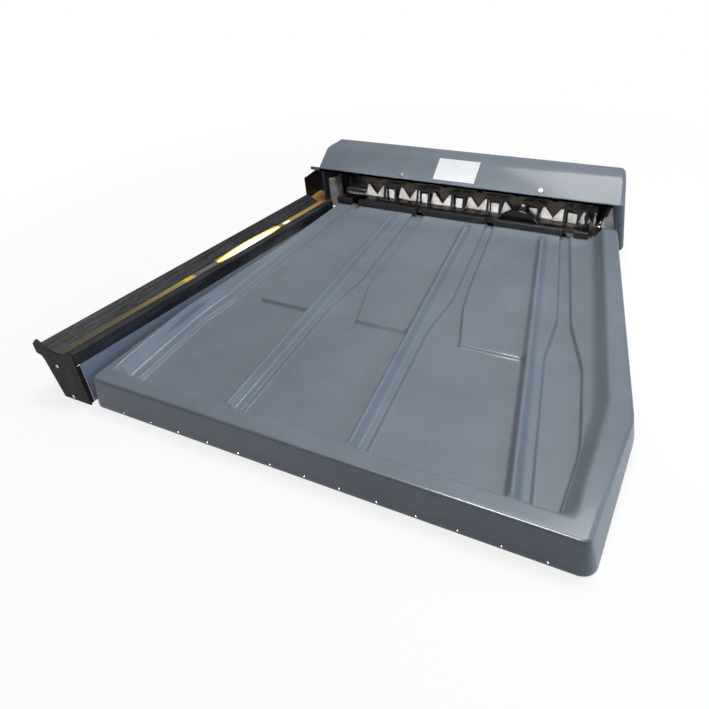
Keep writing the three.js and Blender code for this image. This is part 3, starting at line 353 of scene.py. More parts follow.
def piece(name, bm, body, material, replaced=(), smooth=35.0):
    """Turns a bmesh into a named piece that rides on a body."""
    mesh = bpy.data.meshes.new(name)
    bm.to_mesh(mesh)
    bm.free()
    mesh.shade_smooth()
    if smooth < 180:
        mesh.set_sharp_from_angle(angle=math.radians(smooth))
    made = bpy.data.objects.new(name, mesh)
    bpy.context.scene.collection.objects.link(made)
    mesh.materials.append(material)
    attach(made, body)
    if replaced:
        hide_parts(*replaced)
    return made


def bevelled(made, width, segments=2, angle=35.0):
    """Rounds a piece's sharp edges with a live modifier."""
    edge = made.modifiers.new("edges", "BEVEL")
    edge.width = width * MM
    edge.segments = segments
    edge.limit_method = "ANGLE"
    edge.angle_limit = math.radians(angle)
    edge.harden_normals = True
    edge.use_clamp_overlap = True
    return made


def dressed(node, material, width=0.5, segments=2):
    """A rounded copy of a CAD node, which it replaces."""
    bm = bmesh.new()
    bm.from_mesh(frame["nodes"][node].data)
    bmesh.ops.remove_doubles(bm, verts=bm.verts, dist=WELD)
    bmesh.ops.dissolve_limit(bm, angle_limit=FLAT_ANGLE, verts=bm.verts, edges=bm.edges)
    made = piece(node + "_rounded", bm, BODY_OF[node], material, (node,))
    return bevelled(made, width, segments)


def grown_from(vert, new):
    """The new vertex that an extrusion has joined to a vertex."""
    return next(e.other_vert(vert) for e in vert.link_edges if e.other_vert(vert) in new)


def front_edges(made, new):
    """The edges of an extrusion whose ends are both new."""
    return [e for e in made if isinstance(e, bmesh.types.BMEdge) and e.verts[0] in new and e.verts[1] in new]


def loft(rings):
    """A closed solid: the first ring of points is extruded through the others and both ends are capped."""
    bm = bmesh.new()
    verts = [bm.verts.new(at(*point)) for point in rings[0]]
    edges = [bm.edges.new((verts[i - 1], verts[i])) for i in range(len(verts))]
    first = verts
    for ring in rings[1:]:
        made = bmesh.ops.extrude_edge_only(bm, edges=edges)["geom"]
        new = {v for v in made if isinstance(v, bmesh.types.BMVert)}
        verts = [grown_from(vert, new) for vert in verts]
        for vert, point in zip(verts, ring):
            vert.co = at(*point)
        edges = front_edges(made, new)
    for ends in (first, verts):
        bmesh.ops.contextual_create(bm, geom=ends)
    bmesh.ops.recalc_face_normals(bm, faces=bm.faces)
    return bm


def prism(points, axis, low, high):
    """A polygon extruded along the drawn Y or Z axis."""
    order = {"Y": lambda a, b, c: (a, c, b), "Z": lambda a, b, c: (a, b, c)}
    return loft([[order[axis](a, b, level) for a, b in points] for level in (low, high)])


def block(x0, x1, y0, y1, z0, z1):
    """A plain block."""
    return prism([(x0, y0), (x1, y0), (x1, y1), (x0, y1)], "Z", z0, z1)


def carved(solid, cutters, join=()):
    """A bmesh after solids are joined to it and cutters are taken away."""
    holder = bpy.data.objects.new("carving", bpy.data.meshes.new("carving"))
    solid.to_mesh(holder.data)
    solid.free()
    bpy.context.scene.collection.objects.link(holder)
    tools = []
    for operation, solids in (("UNION", join), ("DIFFERENCE", cutters)):
        for cutter in solids:
            mesh = bpy.data.meshes.new("cutter")
            cutter.to_mesh(mesh)
            cutter.free()
            tool = bpy.data.objects.new("cutter", mesh)
            bpy.context.scene.collection.objects.link(tool)
            tools.append(tool)
            cut = holder.modifiers.new("cut", "BOOLEAN")
            cut.operation = operation
            cut.solver = "EXACT"
            cut.object = tool
    bpy.context.view_layer.update()
    result = holder.evaluated_get(bpy.context.evaluated_depsgraph_get())
    bm = bmesh.new()
    bm.from_mesh(result.to_mesh())
    result.to_mesh_clear()
    for made in tools + [holder]:
        mesh = made.data
        bpy.data.objects.remove(made)
        bpy.data.meshes.remove(mesh)
    if not bm.faces:
        raise RuntimeError("a carved solid came out empty")
    bmesh.ops.remove_doubles(bm, verts=bm.verts, dist=WELD)
    return bm


def screw_head(bm, foot, radius, top_radius, height, sides):
    """A short round head that stands forward of its foot and narrows towards its top."""
    forward = Vector((0, -1, 0))
    turn = Vector((0, 0, 1)).rotation_difference(forward).to_matrix().to_4x4()
    middle = at(*foot) + forward * height * MM / 2
    bmesh.ops.create_cone(bm, cap_ends=True, segments=sides, radius1=radius * MM, radius2=top_radius * MM,
                          depth=height * MM, matrix=Matrix.Translation(middle) @ turn)


# Tray: the same plan lines as the solid, as shares of its length and width
TRAY_WIDTH, TRAY_LENGTH, TRAY_WALL = 717.0, 640.0, 2.4
TILT = math.radians(3.5)
BASIN, PANEL_RISE, RIDGE_DEPTH, RIDGE_HALF = 28.0, 6.0, 12.0, 2.5
SKIRT_FRONT, SKIRT_SIDE, FLARE, FLARE_CORNER, FLARE_LEFT, FLARE_RIGHT = 55.7, 34.0, 5.4, 10.3, 2.0, 4.5
RIM_ROUND, FRONT_LIP, RIM_FRONT, WALL_RUN, STEP, LEDGE_FIRST = 5.0, 5.0, 22.0, 14.0, 3.0, 16.0
SOFTEN = 9.0
CORNER_TOP, CORNER_FOOT_LEFT, CORNER_FOOT_RIGHT, CORNER_REACH = 9.0, 14.0, 19.0, 34.0
REAR_LIP = 4.0
RIM_Z = SKIRT_FRONT * math.cos(TILT) + (FRONT_LIP + FLARE) * math.sin(TILT)

# Plan lines as (share of the length, share of the width); the sides bend at RIM_BEND
RIM_BEND = 0.303
RIM_LEFT = [(0, -0.0098), (1, 0.0973)]
RIM_LEFT_INNER = [(0, 0.0185), (0.08, 0.0185), (RIM_BEND, 0.0325), (1, 0.107)]
RIM_FALL = [(0, 0), (RIM_BEND, 0), (0.69, 0.8), (0.927, 1), (1, 1)]
RIM_RIGHT = [(0, 1.0045), (RIM_BEND, 1.0125), (1, 0.856)]
RIM_RIGHT_INNER = [(0, 0.971), (0.331, 0.964), (1, 0.822)]
WALL_FOOT = [(0, 0.953), (0.331, 0.942), (1, 0.803)]
RIDGES = [
    [(0, 0.036), (0.31, 0.042), (0.42, 0.06), (0.52, 0.0665), (0.61, 0.0773), (0.75, 0.0945), (1, 0.121)],
    [(0, 0.297), (1, 0.286)],
    [(0, 0.576), (1, 0.492)],
    [(0, 0.88), (1, 0.681)],
]
PANELS = [
    [(0, 0.147), (0.44, 0.147), (0.6, 0.13), (0.8, 0.14), (0.91, 0.158), (1, 0.165)],
    [(0, 0.402), (0.44, 0.402), (0.58, 0.368), (1, 0.358)],
    [(0, 0.646), (0.44, 0.646), (0.575, 0.607), (0.69, 0.59), (1, 0.553)],
    [(0, 0.944), (0.21, 0.94), (0.27, 0.93), (0.45, 0.893), (0.59, 0.84), (1, 0.744)],
]
PANEL_FRONT, NARROW, BULGE, FADE_START, FADE, TRAY_END = 0.44, 0.46, 0.6, 0.927, 0.958, 0.986

# How the rim is rounded and the skirt goes down: share of its depth and how far it draws in
RIM_TURNS = [k * math.pi / 10 for k in range(1, 6)]
SKIRT_STEPS = [(0.12, 0), (0.35, 0), (0.62, 0), (0.85, 0), (0.965, 0), (1.0, 0.7), (1.0, 2.4)]

# Width of one extra column, and places along the tray where the widest gaps are looked for
FILL_WIDTH = 11
FILL_PLACES = (40.0, 250.0, 420.0, 620.0)


def track(shares, v):
    """A plan line's distance across the tray at v, with its bends softened."""
    places = v + np.linspace(-SOFTEN, SOFTEN, 7)
    along, across = np.array(shares).T
    values = np.interp(places / TRAY_LENGTH, along, across)
    first = (across[1] - across[0]) / (along[1] - along[0])
    last = (across[-1] - across[-2]) / (along[-1] - along[-2])
    at_share = places / TRAY_LENGTH
    values = values + np.minimum(at_share, 0) * first + np.maximum(at_share - 1, 0) * last
    return float(values.mean() * TRAY_WIDTH)


def ledge_width(v, k):
    """Width of the ledge right of ridge k at v."""
    share = v / TRAY_LENGTH
    return float(np.interp(share, [NARROW, BULGE, 1.0], [21.0, 35.0, 29.0])) if k else LEDGE_FIRST


def tray_columns(v):
    """Feature lines across the tray at v: place, height under the rim and rounding radius."""
    share = v / TRAY_LENGTH
    floor, ledge = -BASIN, PANEL_RISE - BASIN
    rise = np.clip((v - (PANEL_FRONT * TRAY_LENGTH - STEP)) / STEP, 0, 1)
    panel = floor + PANEL_RISE * rise
    top = -RIDGE_DEPTH + (ledge + RIDGE_DEPTH) * np.clip((share - FADE_START) / (FADE - FADE_START), 0, 1)
    left, right = track(RIM_LEFT, v), track(RIM_RIGHT, v)
    fall = ledge * float(np.interp(share, *np.array(RIM_FALL).T))
    columns = [(left + RIM_ROUND, fall, 0.0), (track(RIM_LEFT_INNER, v), fall, 2.5)]
    for k, (ridge_shares, panel_shares) in enumerate(zip(RIDGES, PANELS)):
        ridge, step = track(ridge_shares, v), track(panel_shares, v)
        width = ledge_width(v, k)
        if k:
            columns += [(ridge - 9, panel, 2.2), (ridge - RIDGE_HALF, top, 1.3),
                        (ridge + RIDGE_HALF, top, 1.3)]
        columns += [(ridge + (10 if k else 0), ledge, 2.4 if k else 3.5),
                    (ridge + width, ledge, 1.0), (ridge + width + STEP, floor, 1.0),
                    (step, floor, 1.0), (step + STEP, ledge if k == len(RIDGES) - 1 else panel, 1.0)]
    columns += [(track(WALL_FOOT, v), ledge, 5.0), (track(RIM_RIGHT_INNER, v), 0.0, 2.5),
                (right - RIM_ROUND, 0.0, 0.0)]
    front = np.clip((v - RIM_FRONT) / WALL_RUN, 0, 1)
    return [(place, height * front, radius) for place, height, radius in columns]


def tray_rows():
    """Places along the tray: close together at its front wall and panel edges."""
    step = PANEL_FRONT * TRAY_LENGTH
    rows = {0.0, 1.2, 2.6, 4.0, 6.6, 9.5, 12.5, 15.5, 18.0, 19.5, 21.0, 22.0, 23.0, 25.0, 28.0, 31.0, 33.5,
            35.0, 36.0, 37.0, 39.0, 42.0, 46.0, TRAY_LENGTH * TRAY_END}
    rows |= {step + away for away in (-6, -4, -3, -2, -1, 0, 1, 3)}
    rows |= {float(v) for v in np.arange(54, TRAY_LENGTH * TRAY_END - 5, 8) if abs(v - step) > 7}
    rows |= {TRAY_LENGTH * share for share in (FADE_START, FADE_START + 0.01, FADE - 0.01, FADE)}
    return sorted(rows)


def tray_line(v):
    """Places and heights of the fine columns at v, after the creases are rounded."""
    columns = tray_columns(v)
    rim_shares = [0, 0.09, 0.2, 0.33, 0.48, 0.66]
    fine, radii = [], []
    last = len(columns) - 2
    for k in range(last + 1):
        (a, _, ra), (b, _, rb) = columns[k], columns[k + 1]
        gap = b - a
        if k in (0, last):
            mirrored = [1 - t for t in rim_shares[:0:-1]]
            parts = rim_shares + [0.8, 0.92] if k == 0 else [0, 0.08, 0.2] + mirrored
            fine += [a + gap * t for t in parts]
            radii += [ra + (rb - ra) * t for t in parts]
            continue
        near_a, near_b = min(1.5 * ra, gap * 0.4), min(1.5 * rb, gap * 0.4)
        between = FILL[k]
        fine += [a, a + near_a / 2, a + near_a]
        fine += [a + near_a + (gap - near_a - near_b) * (i + 1) / (between + 1) for i in range(between)]
        fine += [b - near_b, b - near_b / 2]
        radii += [ra, ra, ra] + [(ra + rb) / 2] * between + [rb, rb]
    fine.append(columns[-1][0])
    radii.append(0.0)
    fine, radii = np.array(fine), np.array(radii)
    total = np.zeros(len(fine))
    samples = [(p, q) for p in np.linspace(-1, 1, 7) for q in np.linspace(-1, 1, 5)]
    along = 2.0 if v < 60 or abs(v - PANEL_FRONT * TRAY_LENGTH) < 12 else 1.0
    for p, q in samples:
        places, heights, _ = zip(*tray_columns(v + q * along))
        total += np.interp(fine + p * radii, places, heights)
    return fine, total / len(samples)


def fill_counts():
    """How many extra columns stand between each pair of feature lines."""
    sampled = [tray_columns(v) for v in FILL_PLACES]
    pairs = range(len(sampled[0]) - 1)
    return [int(max(columns[k + 1][0] - columns[k][0] for columns in sampled) // FILL_WIDTH) for k in pairs]


FILL = fill_counts()


def corner_turned(u, v, line_left, line_right):
    """Rounds the inner grid's two front corners in plan."""
    reach = CORNER_TOP - RIM_ROUND
    for side, centre in ((-1, line_left + reach), (1, line_right - reach)):
        p, q = side * (u - centre) / reach, (CORNER_TOP - FRONT_LIP - v) / reach
        if p > 0 and q > 0:
            radius = max(p, q)
            angle = (q / p if p >= q else 2 - p / q) * math.pi / 4
            return (centre + side * reach * radius * math.cos(angle),
                    CORNER_TOP - FRONT_LIP - reach * radius * math.sin(angle))
    return u, v


def flank_share(v):
    """0 at the tray's front, rising to 1 where its sides bend."""
    return min(1.0, max(0.0, v / (RIM_BEND * TRAY_LENGTH)))


def skirt_point(u, v, normal, out, down, line_left, line_right):
    """Moves a rim point outwards, while the front corners' rounding widens towards the foot."""
    along = flank_share(v)
    foot = FLARE_RIGHT if normal.x > 0 else FLARE_LEFT
    side = (FLARE_CORNER + (foot - FLARE_CORNER) * along) * abs(normal.x)
    ahead = FLARE * max(0.0, -normal.y) if abs(normal.x) < 1 else 0.0
    straight = (u + normal.x * out + math.copysign(side, normal.x) * down,
                v + normal.y * out - ahead * down)
    sign = 1 if u > (line_left + line_right) / 2 else -1
    edge = line_right + RIM_ROUND if sign > 0 else line_left - RIM_ROUND
    wide = CORNER_FOOT_RIGHT if sign > 0 else CORNER_FOOT_LEFT
    radius = CORNER_TOP + (wide - CORNER_TOP) * down
    shift_u = sign * (FLARE_CORNER * down - (radius - CORNER_TOP))
    shift_v = radius - CORNER_TOP - FLARE * down
    centre = Vector((edge - sign * CORNER_TOP, CORNER_TOP - FRONT_LIP))
    if 0.02 < abs(normal.x) < 0.98 and v < CORNER_TOP:
        turned = centre + Vector((shift_u, shift_v)) + normal * (radius - RIM_ROUND + out)
        return turned.x, turned.y
    near = abs(u - centre.x) if abs(normal.x) < 0.5 else abs(v - centre.y)
    fade = max(0.0, 1 - near / CORNER_REACH)
    if abs(normal.x) < 0.5:
        return straight[0] + (shift_u * fade if normal.y < 0 else 0), straight[1]
    return straight[0], straight[1] + shift_v * fade


def on_tray(u, v, h):
    """A point in the tray's own plane, tilted and set on its front edge."""
    return at(u, v * math.cos(TILT) - h * math.sin(TILT), RIM_Z + v * math.sin(TILT) + h * math.cos(TILT))


def outward_normals(edges, plan):
    """The outward direction in plan at each vertex of the sheet's edges."""
    middle = Vector((TRAY_WIDTH * 0.47, TRAY_LENGTH * 0.5))
    outward = {}
    for vert in {vert for e in edges for vert in e.verts}:
        total = Vector((0, 0))
        for e in (e for e in edges if vert in e.verts):
            a, b = (Vector(plan[end][:2]) for end in e.verts)
            normal = Vector((b.y - a.y, a.x - b.x)).normalized()
            total += normal if normal.dot((a + b) / 2 - middle) > 0 else -normal
        outward[vert] = total.normalized()
    return outward


def tray_sheet():
    """The moulded sheet: a grid mapped to the feature lines, with a rim and skirt extruded round it."""
    rows = tray_rows()
    lines = [tray_line(v) for v in rows]
    columns = len(lines[0][0])
    bm = bmesh.new()
    bmesh.ops.create_grid(bm, x_segments=columns - 1, y_segments=len(rows) - 1, size=1)
    plan, row_of = {}, {}
    for vert in bm.verts:
        i = round((vert.co.y + 1) / 2 * (len(rows) - 1))
        j = round((vert.co.x + 1) / 2 * (columns - 1))
        places, heights = lines[i]
        u, v = corner_turned(places[j], rows[i], lines[0][0][0], lines[0][0][-1])
        plan[vert] = (u, v, heights[j])
        row_of[vert] = i
    last = len(rows) - 1
    at_rear = {vert for vert, i in row_of.items() if i == last}
    current = [e for e in bm.edges if e.is_boundary and not at_rear.issuperset(e.verts)]
    ring = {vert: (*plan[vert], normal) for vert, normal in outward_normals(current, plan).items()}
    steps = [(RIM_ROUND * math.sin(turn), 0.0, RIM_ROUND * (1 - math.cos(turn))) for turn in RIM_TURNS]
    steps += [(RIM_ROUND - inward, down, RIM_ROUND) for down, inward in SKIRT_STEPS]
    for out, down, drop in steps:
        made = bmesh.ops.extrude_edge_only(bm, edges=current)["geom"]
        new = {v for v in made if isinstance(v, bmesh.types.BMVert)}
        grown = {}
        for vert, (u, v, top, normal) in ring.items():
            after = grown_from(vert, new)
            depth = SKIRT_FRONT + (SKIRT_SIDE - SKIRT_FRONT) * flank_share(v)
            h = top - drop + (-depth - top + RIM_ROUND) * down
            plan[after] = (*skirt_point(u, v, normal, out, down, lines[0][0][0], lines[0][0][-1]), h)
            grown[after] = (u, v, top, normal)
        current = front_edges(made, new)
        ring = grown
    rear = [e for e in bm.edges if e.is_boundary and at_rear.issuperset(e.verts)]
    made = bmesh.ops.extrude_edge_only(bm, edges=rear)["geom"]
    below = {v for v in made if isinstance(v, bmesh.types.BMVert)}
    for vert in below:
        u, v, h = plan[next(e.other_vert(vert) for e in vert.link_edges if e.other_vert(vert) not in below)]
        plan[vert] = (u, v, min(h, -BASIN) - REAR_LIP)
    for vert, (u, v, h) in plan.items():
        vert.co = on_tray(u, v, h)
    bmesh.ops.recalc_face_normals(bm, faces=bm.faces)
    if sum(f.normal.z * f.calc_area() for f in bm.faces) < 0:
        bmesh.ops.reverse_faces(bm, faces=bm.faces)
    return bm


def make_tray(paints):
    """The collecting tray as one thin moulded sheet."""
    made = piece("tray_moulding", tray_sheet(), BODY_OF["tray_shell"], paints["moulded"],
                 ("tray_shell",), smooth=180)
    wall = made.modifiers.new("wall", "SOLIDIFY")
    wall.thickness = TRAY_WALL * MM
    wall.offset = -1


# Hood: the solid's section as (y, z) corners with the radius of each; the last two are its open foot
HOOD_CORNERS = [((650, 131), 1.6), ((693, 162.5), 7), ((715, 168.5), 8), ((727, 166.5), 5),
                ((787.5, 131.2), 12), ((800, 112), 9), ((800, 34), 1), ((650, 46), 1)]
HOOD_FOOT_CORNERS, ARC_STEPS, HOOD_FOOT_CUT = 2, 6, 12.0
END_TURNS = [math.radians(15 * k) for k in range(7)]
HOOD_RIGHT_LOW, HOOD_RIGHT_TOP, HOOD_FLAP_Z, HOOD_TOP_Z = 627.0, 613.0, 46.0, 168.5
HOOD_LEFT, HOOD_LEFT_BACK, HOOD_START_LEFT, HOOD_TURN_LEFT, HOOD_TURN_RIGHT = 15.0, 32.0, 685.0, 712.0, 666.0
HOOD_BACK_IN, HOOD_ROUND, HOOD_WALL = 27.0, 8.0, 3.0
LIP_Y, LIP_Z, LIP_HEIGHT, LIP_LEFT, LIP_RIGHT, HOOD_BACK = 650.0, 125.0, 6.0, -6.0, 600.0, 800.0

# What is cut from the hood: its mouth as (x, z) corners, and two rear holes as low and high x, y, z in pairs
MOUTH = [(-20, 4), (616, 4), (616, 46), (600, 125), (-20, 125)]
MOUTH_REACH, LEFT_REACH = 8, 8
SWITCH_HOLE = (119.7, 140.3, 788, 806, 75.7, 104.3)
INLET_HOLE = (69.7, 98.3, 788, 806, 78.7, 101.3)


def inset(points, depth):
    """A closed outline moved inwards by depth."""
    moved = []
    for k, point in enumerate(points):
        a, b, c = (Vector(points[k - 1]), Vector(point), Vector(points[(k + 1) % len(points)]))
        first, second = (b - a).normalized(), (c - b).normalized()
        normal = Vector((first.y + second.y, -first.x - second.x))
        moved.append(b + normal * (2 * depth / normal.length_squared))
    return moved


def hood_outline(depth):
    """The hood's section at a depth under its skin, with every corner rounded."""
    corners = inset([corner for corner, _ in HOOD_CORNERS], depth)
    points = []
    for k, corner in enumerate(corners):
        radius = max(0.3, HOOD_CORNERS[k][1] - depth * 0.25)
        before = (corners[k - 1] - corner).normalized()
        after = (corners[(k + 1) % len(corners)] - corner).normalized()
        for i in range(ARC_STEPS + 1):
            t = i / ARC_STEPS
            a, b = corner + before * radius, corner + after * radius
            points.append(a * (1 - t) ** 2 + corner * (2 * t * (1 - t)) + b * t ** 2)
    return points


def hood_left(y):
    """Where the hood's left end stands at y."""
    share = min(1.0, max(0.0, (y - HOOD_START_LEFT) / (HOOD_TURN_LEFT - HOOD_START_LEFT)))
    return HOOD_LEFT + (HOOD_LEFT_BACK - HOOD_LEFT) * share


def hood_right(y, z):
    """Where the hood's right end stands at y and z."""
    flare = (HOOD_RIGHT_LOW - HOOD_RIGHT_TOP) * (z - HOOD_FLAP_Z) / (HOOD_TOP_Z - HOOD_FLAP_Z)
    turn = max(0.0, y - HOOD_TURN_RIGHT) / (HOOD_BACK - HOOD_TURN_RIGHT)
    return HOOD_RIGHT_LOW - flare - HOOD_BACK_IN * turn


def hood_solid(depth):
    """A closed solid: the section from the skewed left end to the rounded right end."""
    foot_from = (len(HOOD_CORNERS) - HOOD_FOOT_CORNERS) * (ARC_STEPS + 1)
    rings = [[(hood_left(y) + depth, y, z) for y, z in hood_outline(depth)]]
    back_of = [0.0]
    for turn in END_TURNS:
        back = (HOOD_ROUND - depth) * (1 - math.cos(turn))
        short = (HOOD_ROUND - depth) * (1 - math.sin(turn))
        rings.append([(hood_right(y, z) - depth - short, y, z) for y, z in hood_outline(depth + back)])
        back_of.append(back)
    if depth:
        for ring, back in zip(rings, back_of):
            ring[foot_from:] = [(x, y, z - (HOOD_FOOT_CUT + back + depth)) for x, y, z in ring[foot_from:]]
    return loft(rings)


def make_hood(paints):
    """The moulded hood, its blank plate and its two face screws."""
    mouth = prism(MOUTH, "Y", LIP_Y - MOUTH_REACH, LIP_Y + MOUTH_REACH)
    left = block(MOUTH[0][0], HOOD_LEFT_BACK + LEFT_REACH, LIP_Y - MOUTH_REACH, HOOD_TURN_LEFT,
                 MOUTH[0][1], LIP_Z)
    lip = block(LIP_LEFT, LIP_RIGHT, LIP_Y, LIP_Y + HOOD_WALL, LIP_Z, LIP_Z + LIP_HEIGHT)
    cutters = [hood_solid(HOOD_WALL), mouth, left, block(*SWITCH_HOLE), block(*INLET_HOLE)]
    bm = carved(hood_solid(0), cutters, [lip])
    made = piece("hood_moulding", bm, BODY_OF["hood_shell"], paints["moulded"], ("hood_shell",),
                 smooth=38)
    bevelled(made, 0.5, 2, 50)
    dressed("label_plate", paints["label"], 0.25)
    for side in ("left", "right"):
        dressed("hood_screw_" + side, paints["steel"], 0.5, 3)


# Candling channel
CHANNEL_X, CHANNEL_Z, CHANNEL_TURN, CHANNEL_FALL = -56.0, 86.0, math.radians(6.5), math.radians(2.3)
LENS_MIDDLE, LENS_HALF, LENS_LONG = 418.0, 11.0, 88.0
PORT_MIDDLE, PORT_HALF = 528.0, 5.5


def on_channel(across, along, up):
    """A point in the channel's own frame: across it, along it and up from its strip."""
    y = along * math.cos(CHANNEL_FALL) + up * math.sin(CHANNEL_FALL)
    z = up * math.cos(CHANNEL_FALL) - along * math.sin(CHANNEL_FALL)
    return (CHANNEL_X + across * math.cos(CHANNEL_TURN) + y * math.sin(CHANNEL_TURN),
            y * math.cos(CHANNEL_TURN) - across * math.sin(CHANNEL_TURN), CHANNEL_Z + z)


def make_channel(paints):
    """Rails, strips, lit windows, end plate and side panel."""
    for side in ("outer", "inner"):
        dressed("infeed_rail_" + side, paints["ribbed"], 0.4)
    for node, paint in (("infeed_floor_strip", "tan_strip"), ("infeed_end_strip", "tan_strip"),
                        ("candling_lens", "lens"), ("candling_port", "port"), ("candling_lamp", "lamp"),
                        ("infeed_side_panel", "side_panel")):
        paint_node(node, paints[paint])
    dressed("candling_lamp_housing", paints["black_metal"], 0.6)
    dressed("infeed_front_plate", paints["end_plate"], 0.8, 3)
    for place in ("upper", "lower"):
        dressed("infeed_screw_" + place, paints["steel"], 0.5, 3)


def paint_node(node, material):
    """A CAD node keeps its mesh and takes a material."""
    mesh = frame["nodes"][node].data
    mesh.materials.clear()
    mesh.materials.append(material)


def make_seats(paints):
    """Seats, scale pans, guide, walking beam, guard arms and apron."""
    dressed("fixed_seats", paints["white"], 0.5)
    for n in range(4):
        dressed(f"scale_pan_{n}", paints["white"], 0.5)
        dressed(f"scale_lever_{n}", paints["steel"], 0.5)
        dressed(f"scale_weight_{n}", paints["brass"], 0.8, 3)
    dressed("end_guide", paints["white"], 0.5)
    dressed("walking_beam", paints["beam"], 0.4)
    dressed("seat_guard", paints["black"], 0.35)
    dressed("apron_plate", paints["brown"], 0.5)
    dressed("apron_hump", paints["glossy_black"], 1.2, 3)
    dressed("end_gusset", paints["cream"], 0.5)
    dressed("adjusting_screw", paints["black"], 0.5)
    dressed("transfer_guard", paints["black_metal"], 0.5)
    dressed("transfer_floor", paints["tan_floor_lamp_glow"], 0.4)
    for k in range(5):
        dressed(f"lane_rail_{k}", paints["black"], 1.2, 3)


def make_mechanism(paints):
    """Drive, frame plates, base and rear fittings."""
    for node in ("scale_pivot_rod", "rear_cross_bar"):
        paint_node(node, paints["steel"])
    for node, paint in (("crank_left", "steel"), ("crank_right", "steel"), ("crank_bearing_left", "steel"),
                        ("mechanism_back_plate", "brown"), ("side_plate_left", "black_metal"),
                        ("side_plate_right", "black_metal"), ("gearbox", "cast"),
                        ("drive_motor", "black_metal"), ("base_pan", "black_metal"),
                        ("tray_support", "black_metal"), ("rubber_foot_left", "rubber"),
                        ("rubber_foot_right", "rubber"),
                        ("rocker_switch", "black"), ("power_inlet", "black")):
        dressed(node, paints[paint], 0.6)


# Small fasteners: where the rows start, their spacing and how many there are
BEAM_SCREW_X, BEAM_SCREW_Y, BEAM_SCREW_Z, BEAM_SCREW_PITCH, BEAM_SCREWS = 138, 678, 107, 71.6, 5
RIVET_START, RIVET_PITCH, RIVETS, RIVET_RISE, RIVET_FLARE = 44, 53, 13, 5, 0.9


def make_fasteners(paints):
    """Small screws on the walking beam, and rivets along the tray's front skirt."""
    beam = bmesh.new()
    for k in range(1, BEAM_SCREWS + 1):
        x = BEAM_SCREW_X + BEAM_SCREW_PITCH * k + BEAM_SCREW_PITCH / 2
        screw_head(beam, (x, BEAM_SCREW_Y, BEAM_SCREW_Z), 2.6, 1.9, 1.4, 16)
    piece("beam_screws", beam, "beam", paints["dark_steel"])
    skirt = bmesh.new()
    for k in range(RIVETS):
        place = on_tray(RIVET_START + RIVET_PITCH * k, -FLARE * RIVET_FLARE - FRONT_LIP,
                        -SKIRT_FRONT + RIVET_RISE)
        screw_head(skirt, tuple((place - SHIFT) / MM), 1.5, 1.0, 0.8, 12)
    piece("skirt_rivets", skirt, "frame", paints["steel"])


# Stage: plain pale floor, soft lamps and the photograph's viewpoint
CAMERA_AT = (755.96, -489.82, 651.77)
CAMERA_RIGHT = (0.878965, 0.469696, -0.082496)
CAMERA_DOWN = (0.223452, -0.558467, -0.798864)
CAMERA_AHEAD = (-0.421295, 0.683740, -0.595828)
CAMERA_LENS, SENSOR_WIDTH = 34.424, 36.0
FLOOR_HALF, FLOOR_DROP = 6, 0.0003
FLOOR_WHITE, FLOOR_TINT = 0.95, (0.9, 1.0, 1.14)
LIFT_NEAR, LIFT_FAR = 0.55, 1.2
FILL_SPREAD = math.radians(42)

# Lamps, in metres: name, place, aim, width and depth, colour
LAMPS = {
    "overhead": ((0.32, 0.25, 1.9), (0.1, 0.0, 0.0), (0.9, 0.9), (1.0, 0.985, 0.96)),
    "window": ((2.2, 0.6, 1.0), (0.1, 0.1, 0.0), (1.2, 1.2), (0.62, 0.79, 1.0)),
    "glint": ((0.08, -1.2, 1.33), (0.3, -0.4, 0.05), (0.5, 0.35), (0.9, 0.95, 1.0)),
    "fill": ((0.02, 0.1, 0.125), (0.02, 0.27, 0.092), (0.46, 0.02), (1.0, 0.96, 0.92)),
}


def lamp(name, power):
    """A soft rectangular lamp, placed, aimed and sized as LAMPS says."""
    place, aim, size, colour = LAMPS[name]
    data = bpy.data.lights.new(name, "AREA")
    data.shape = "RECTANGLE"
    data.size, data.size_y = size
    data.energy = power
    data.color = colour
    made = bpy.data.objects.new(name, data)
    bpy.context.scene.collection.objects.link(made)
    made.location = place
    made.rotation_euler = (Vector(aim) - Vector(place)).to_track_quat("-Z", "Y").to_euler()
    return made


def make_floor(looks):
    """The pale floor, which the camera sees as white with the machine's shadow on it."""
    bm = bmesh.new()
    bmesh.ops.create_grid(bm, x_segments=1, y_segments=1, size=FLOOR_HALF)
    bmesh.ops.translate(bm, verts=bm.verts, vec=(0, 0, -FLOOR_DROP))
    mesh = bpy.data.meshes.new("floor")
    bm.to_mesh(mesh)
    bm.free()
    floor = bpy.data.objects.new("floor", mesh)
    bpy.context.scene.collection.objects.link(floor)
    paint = Paint("floor")
    seen = paint.node("LightPath", output="Is Camera Ray")
    glossy = paint.node("LightPath", output="Is Glossy Ray")
    through = paint.node("LightPath", output="Is Transmission Ray")
    shown = paint.maths("MAXIMUM", paint.maths("MAXIMUM", seen, glossy), through)
    white = paint.node("BsdfDiffuse", {}, {"Color": (FLOOR_WHITE,) * 3 + (1,)}, "BSDF")
    glow = paint.node("Emission", {}, {"Color": (1, 1, 1, 1), "Strength": 1.0}, "Emission")
    spot = paint.place()
    x, y = paint.axis("X", spot), paint.axis("Y", spot)
    lift = paint.ramp(paint.maths("SQRT", x * x + y * y), LIFT_NEAR, LIFT_FAR, looks.floor_lift, 1.0)
    pale = paint.node("MixShader", {}, {0: lift, 1: white, 2: glow}, "Shader")
    bounce = tuple(looks.floor_bounce * part for part in FLOOR_TINT) + (1,)
    grey = paint.node("BsdfDiffuse", {}, {"Color": bounce}, "BSDF")
    paint.surface(paint.node("MixShader", {}, {0: shown, 1: grey, 2: pale}, "Shader"))
    mesh.materials.append(paint.material)


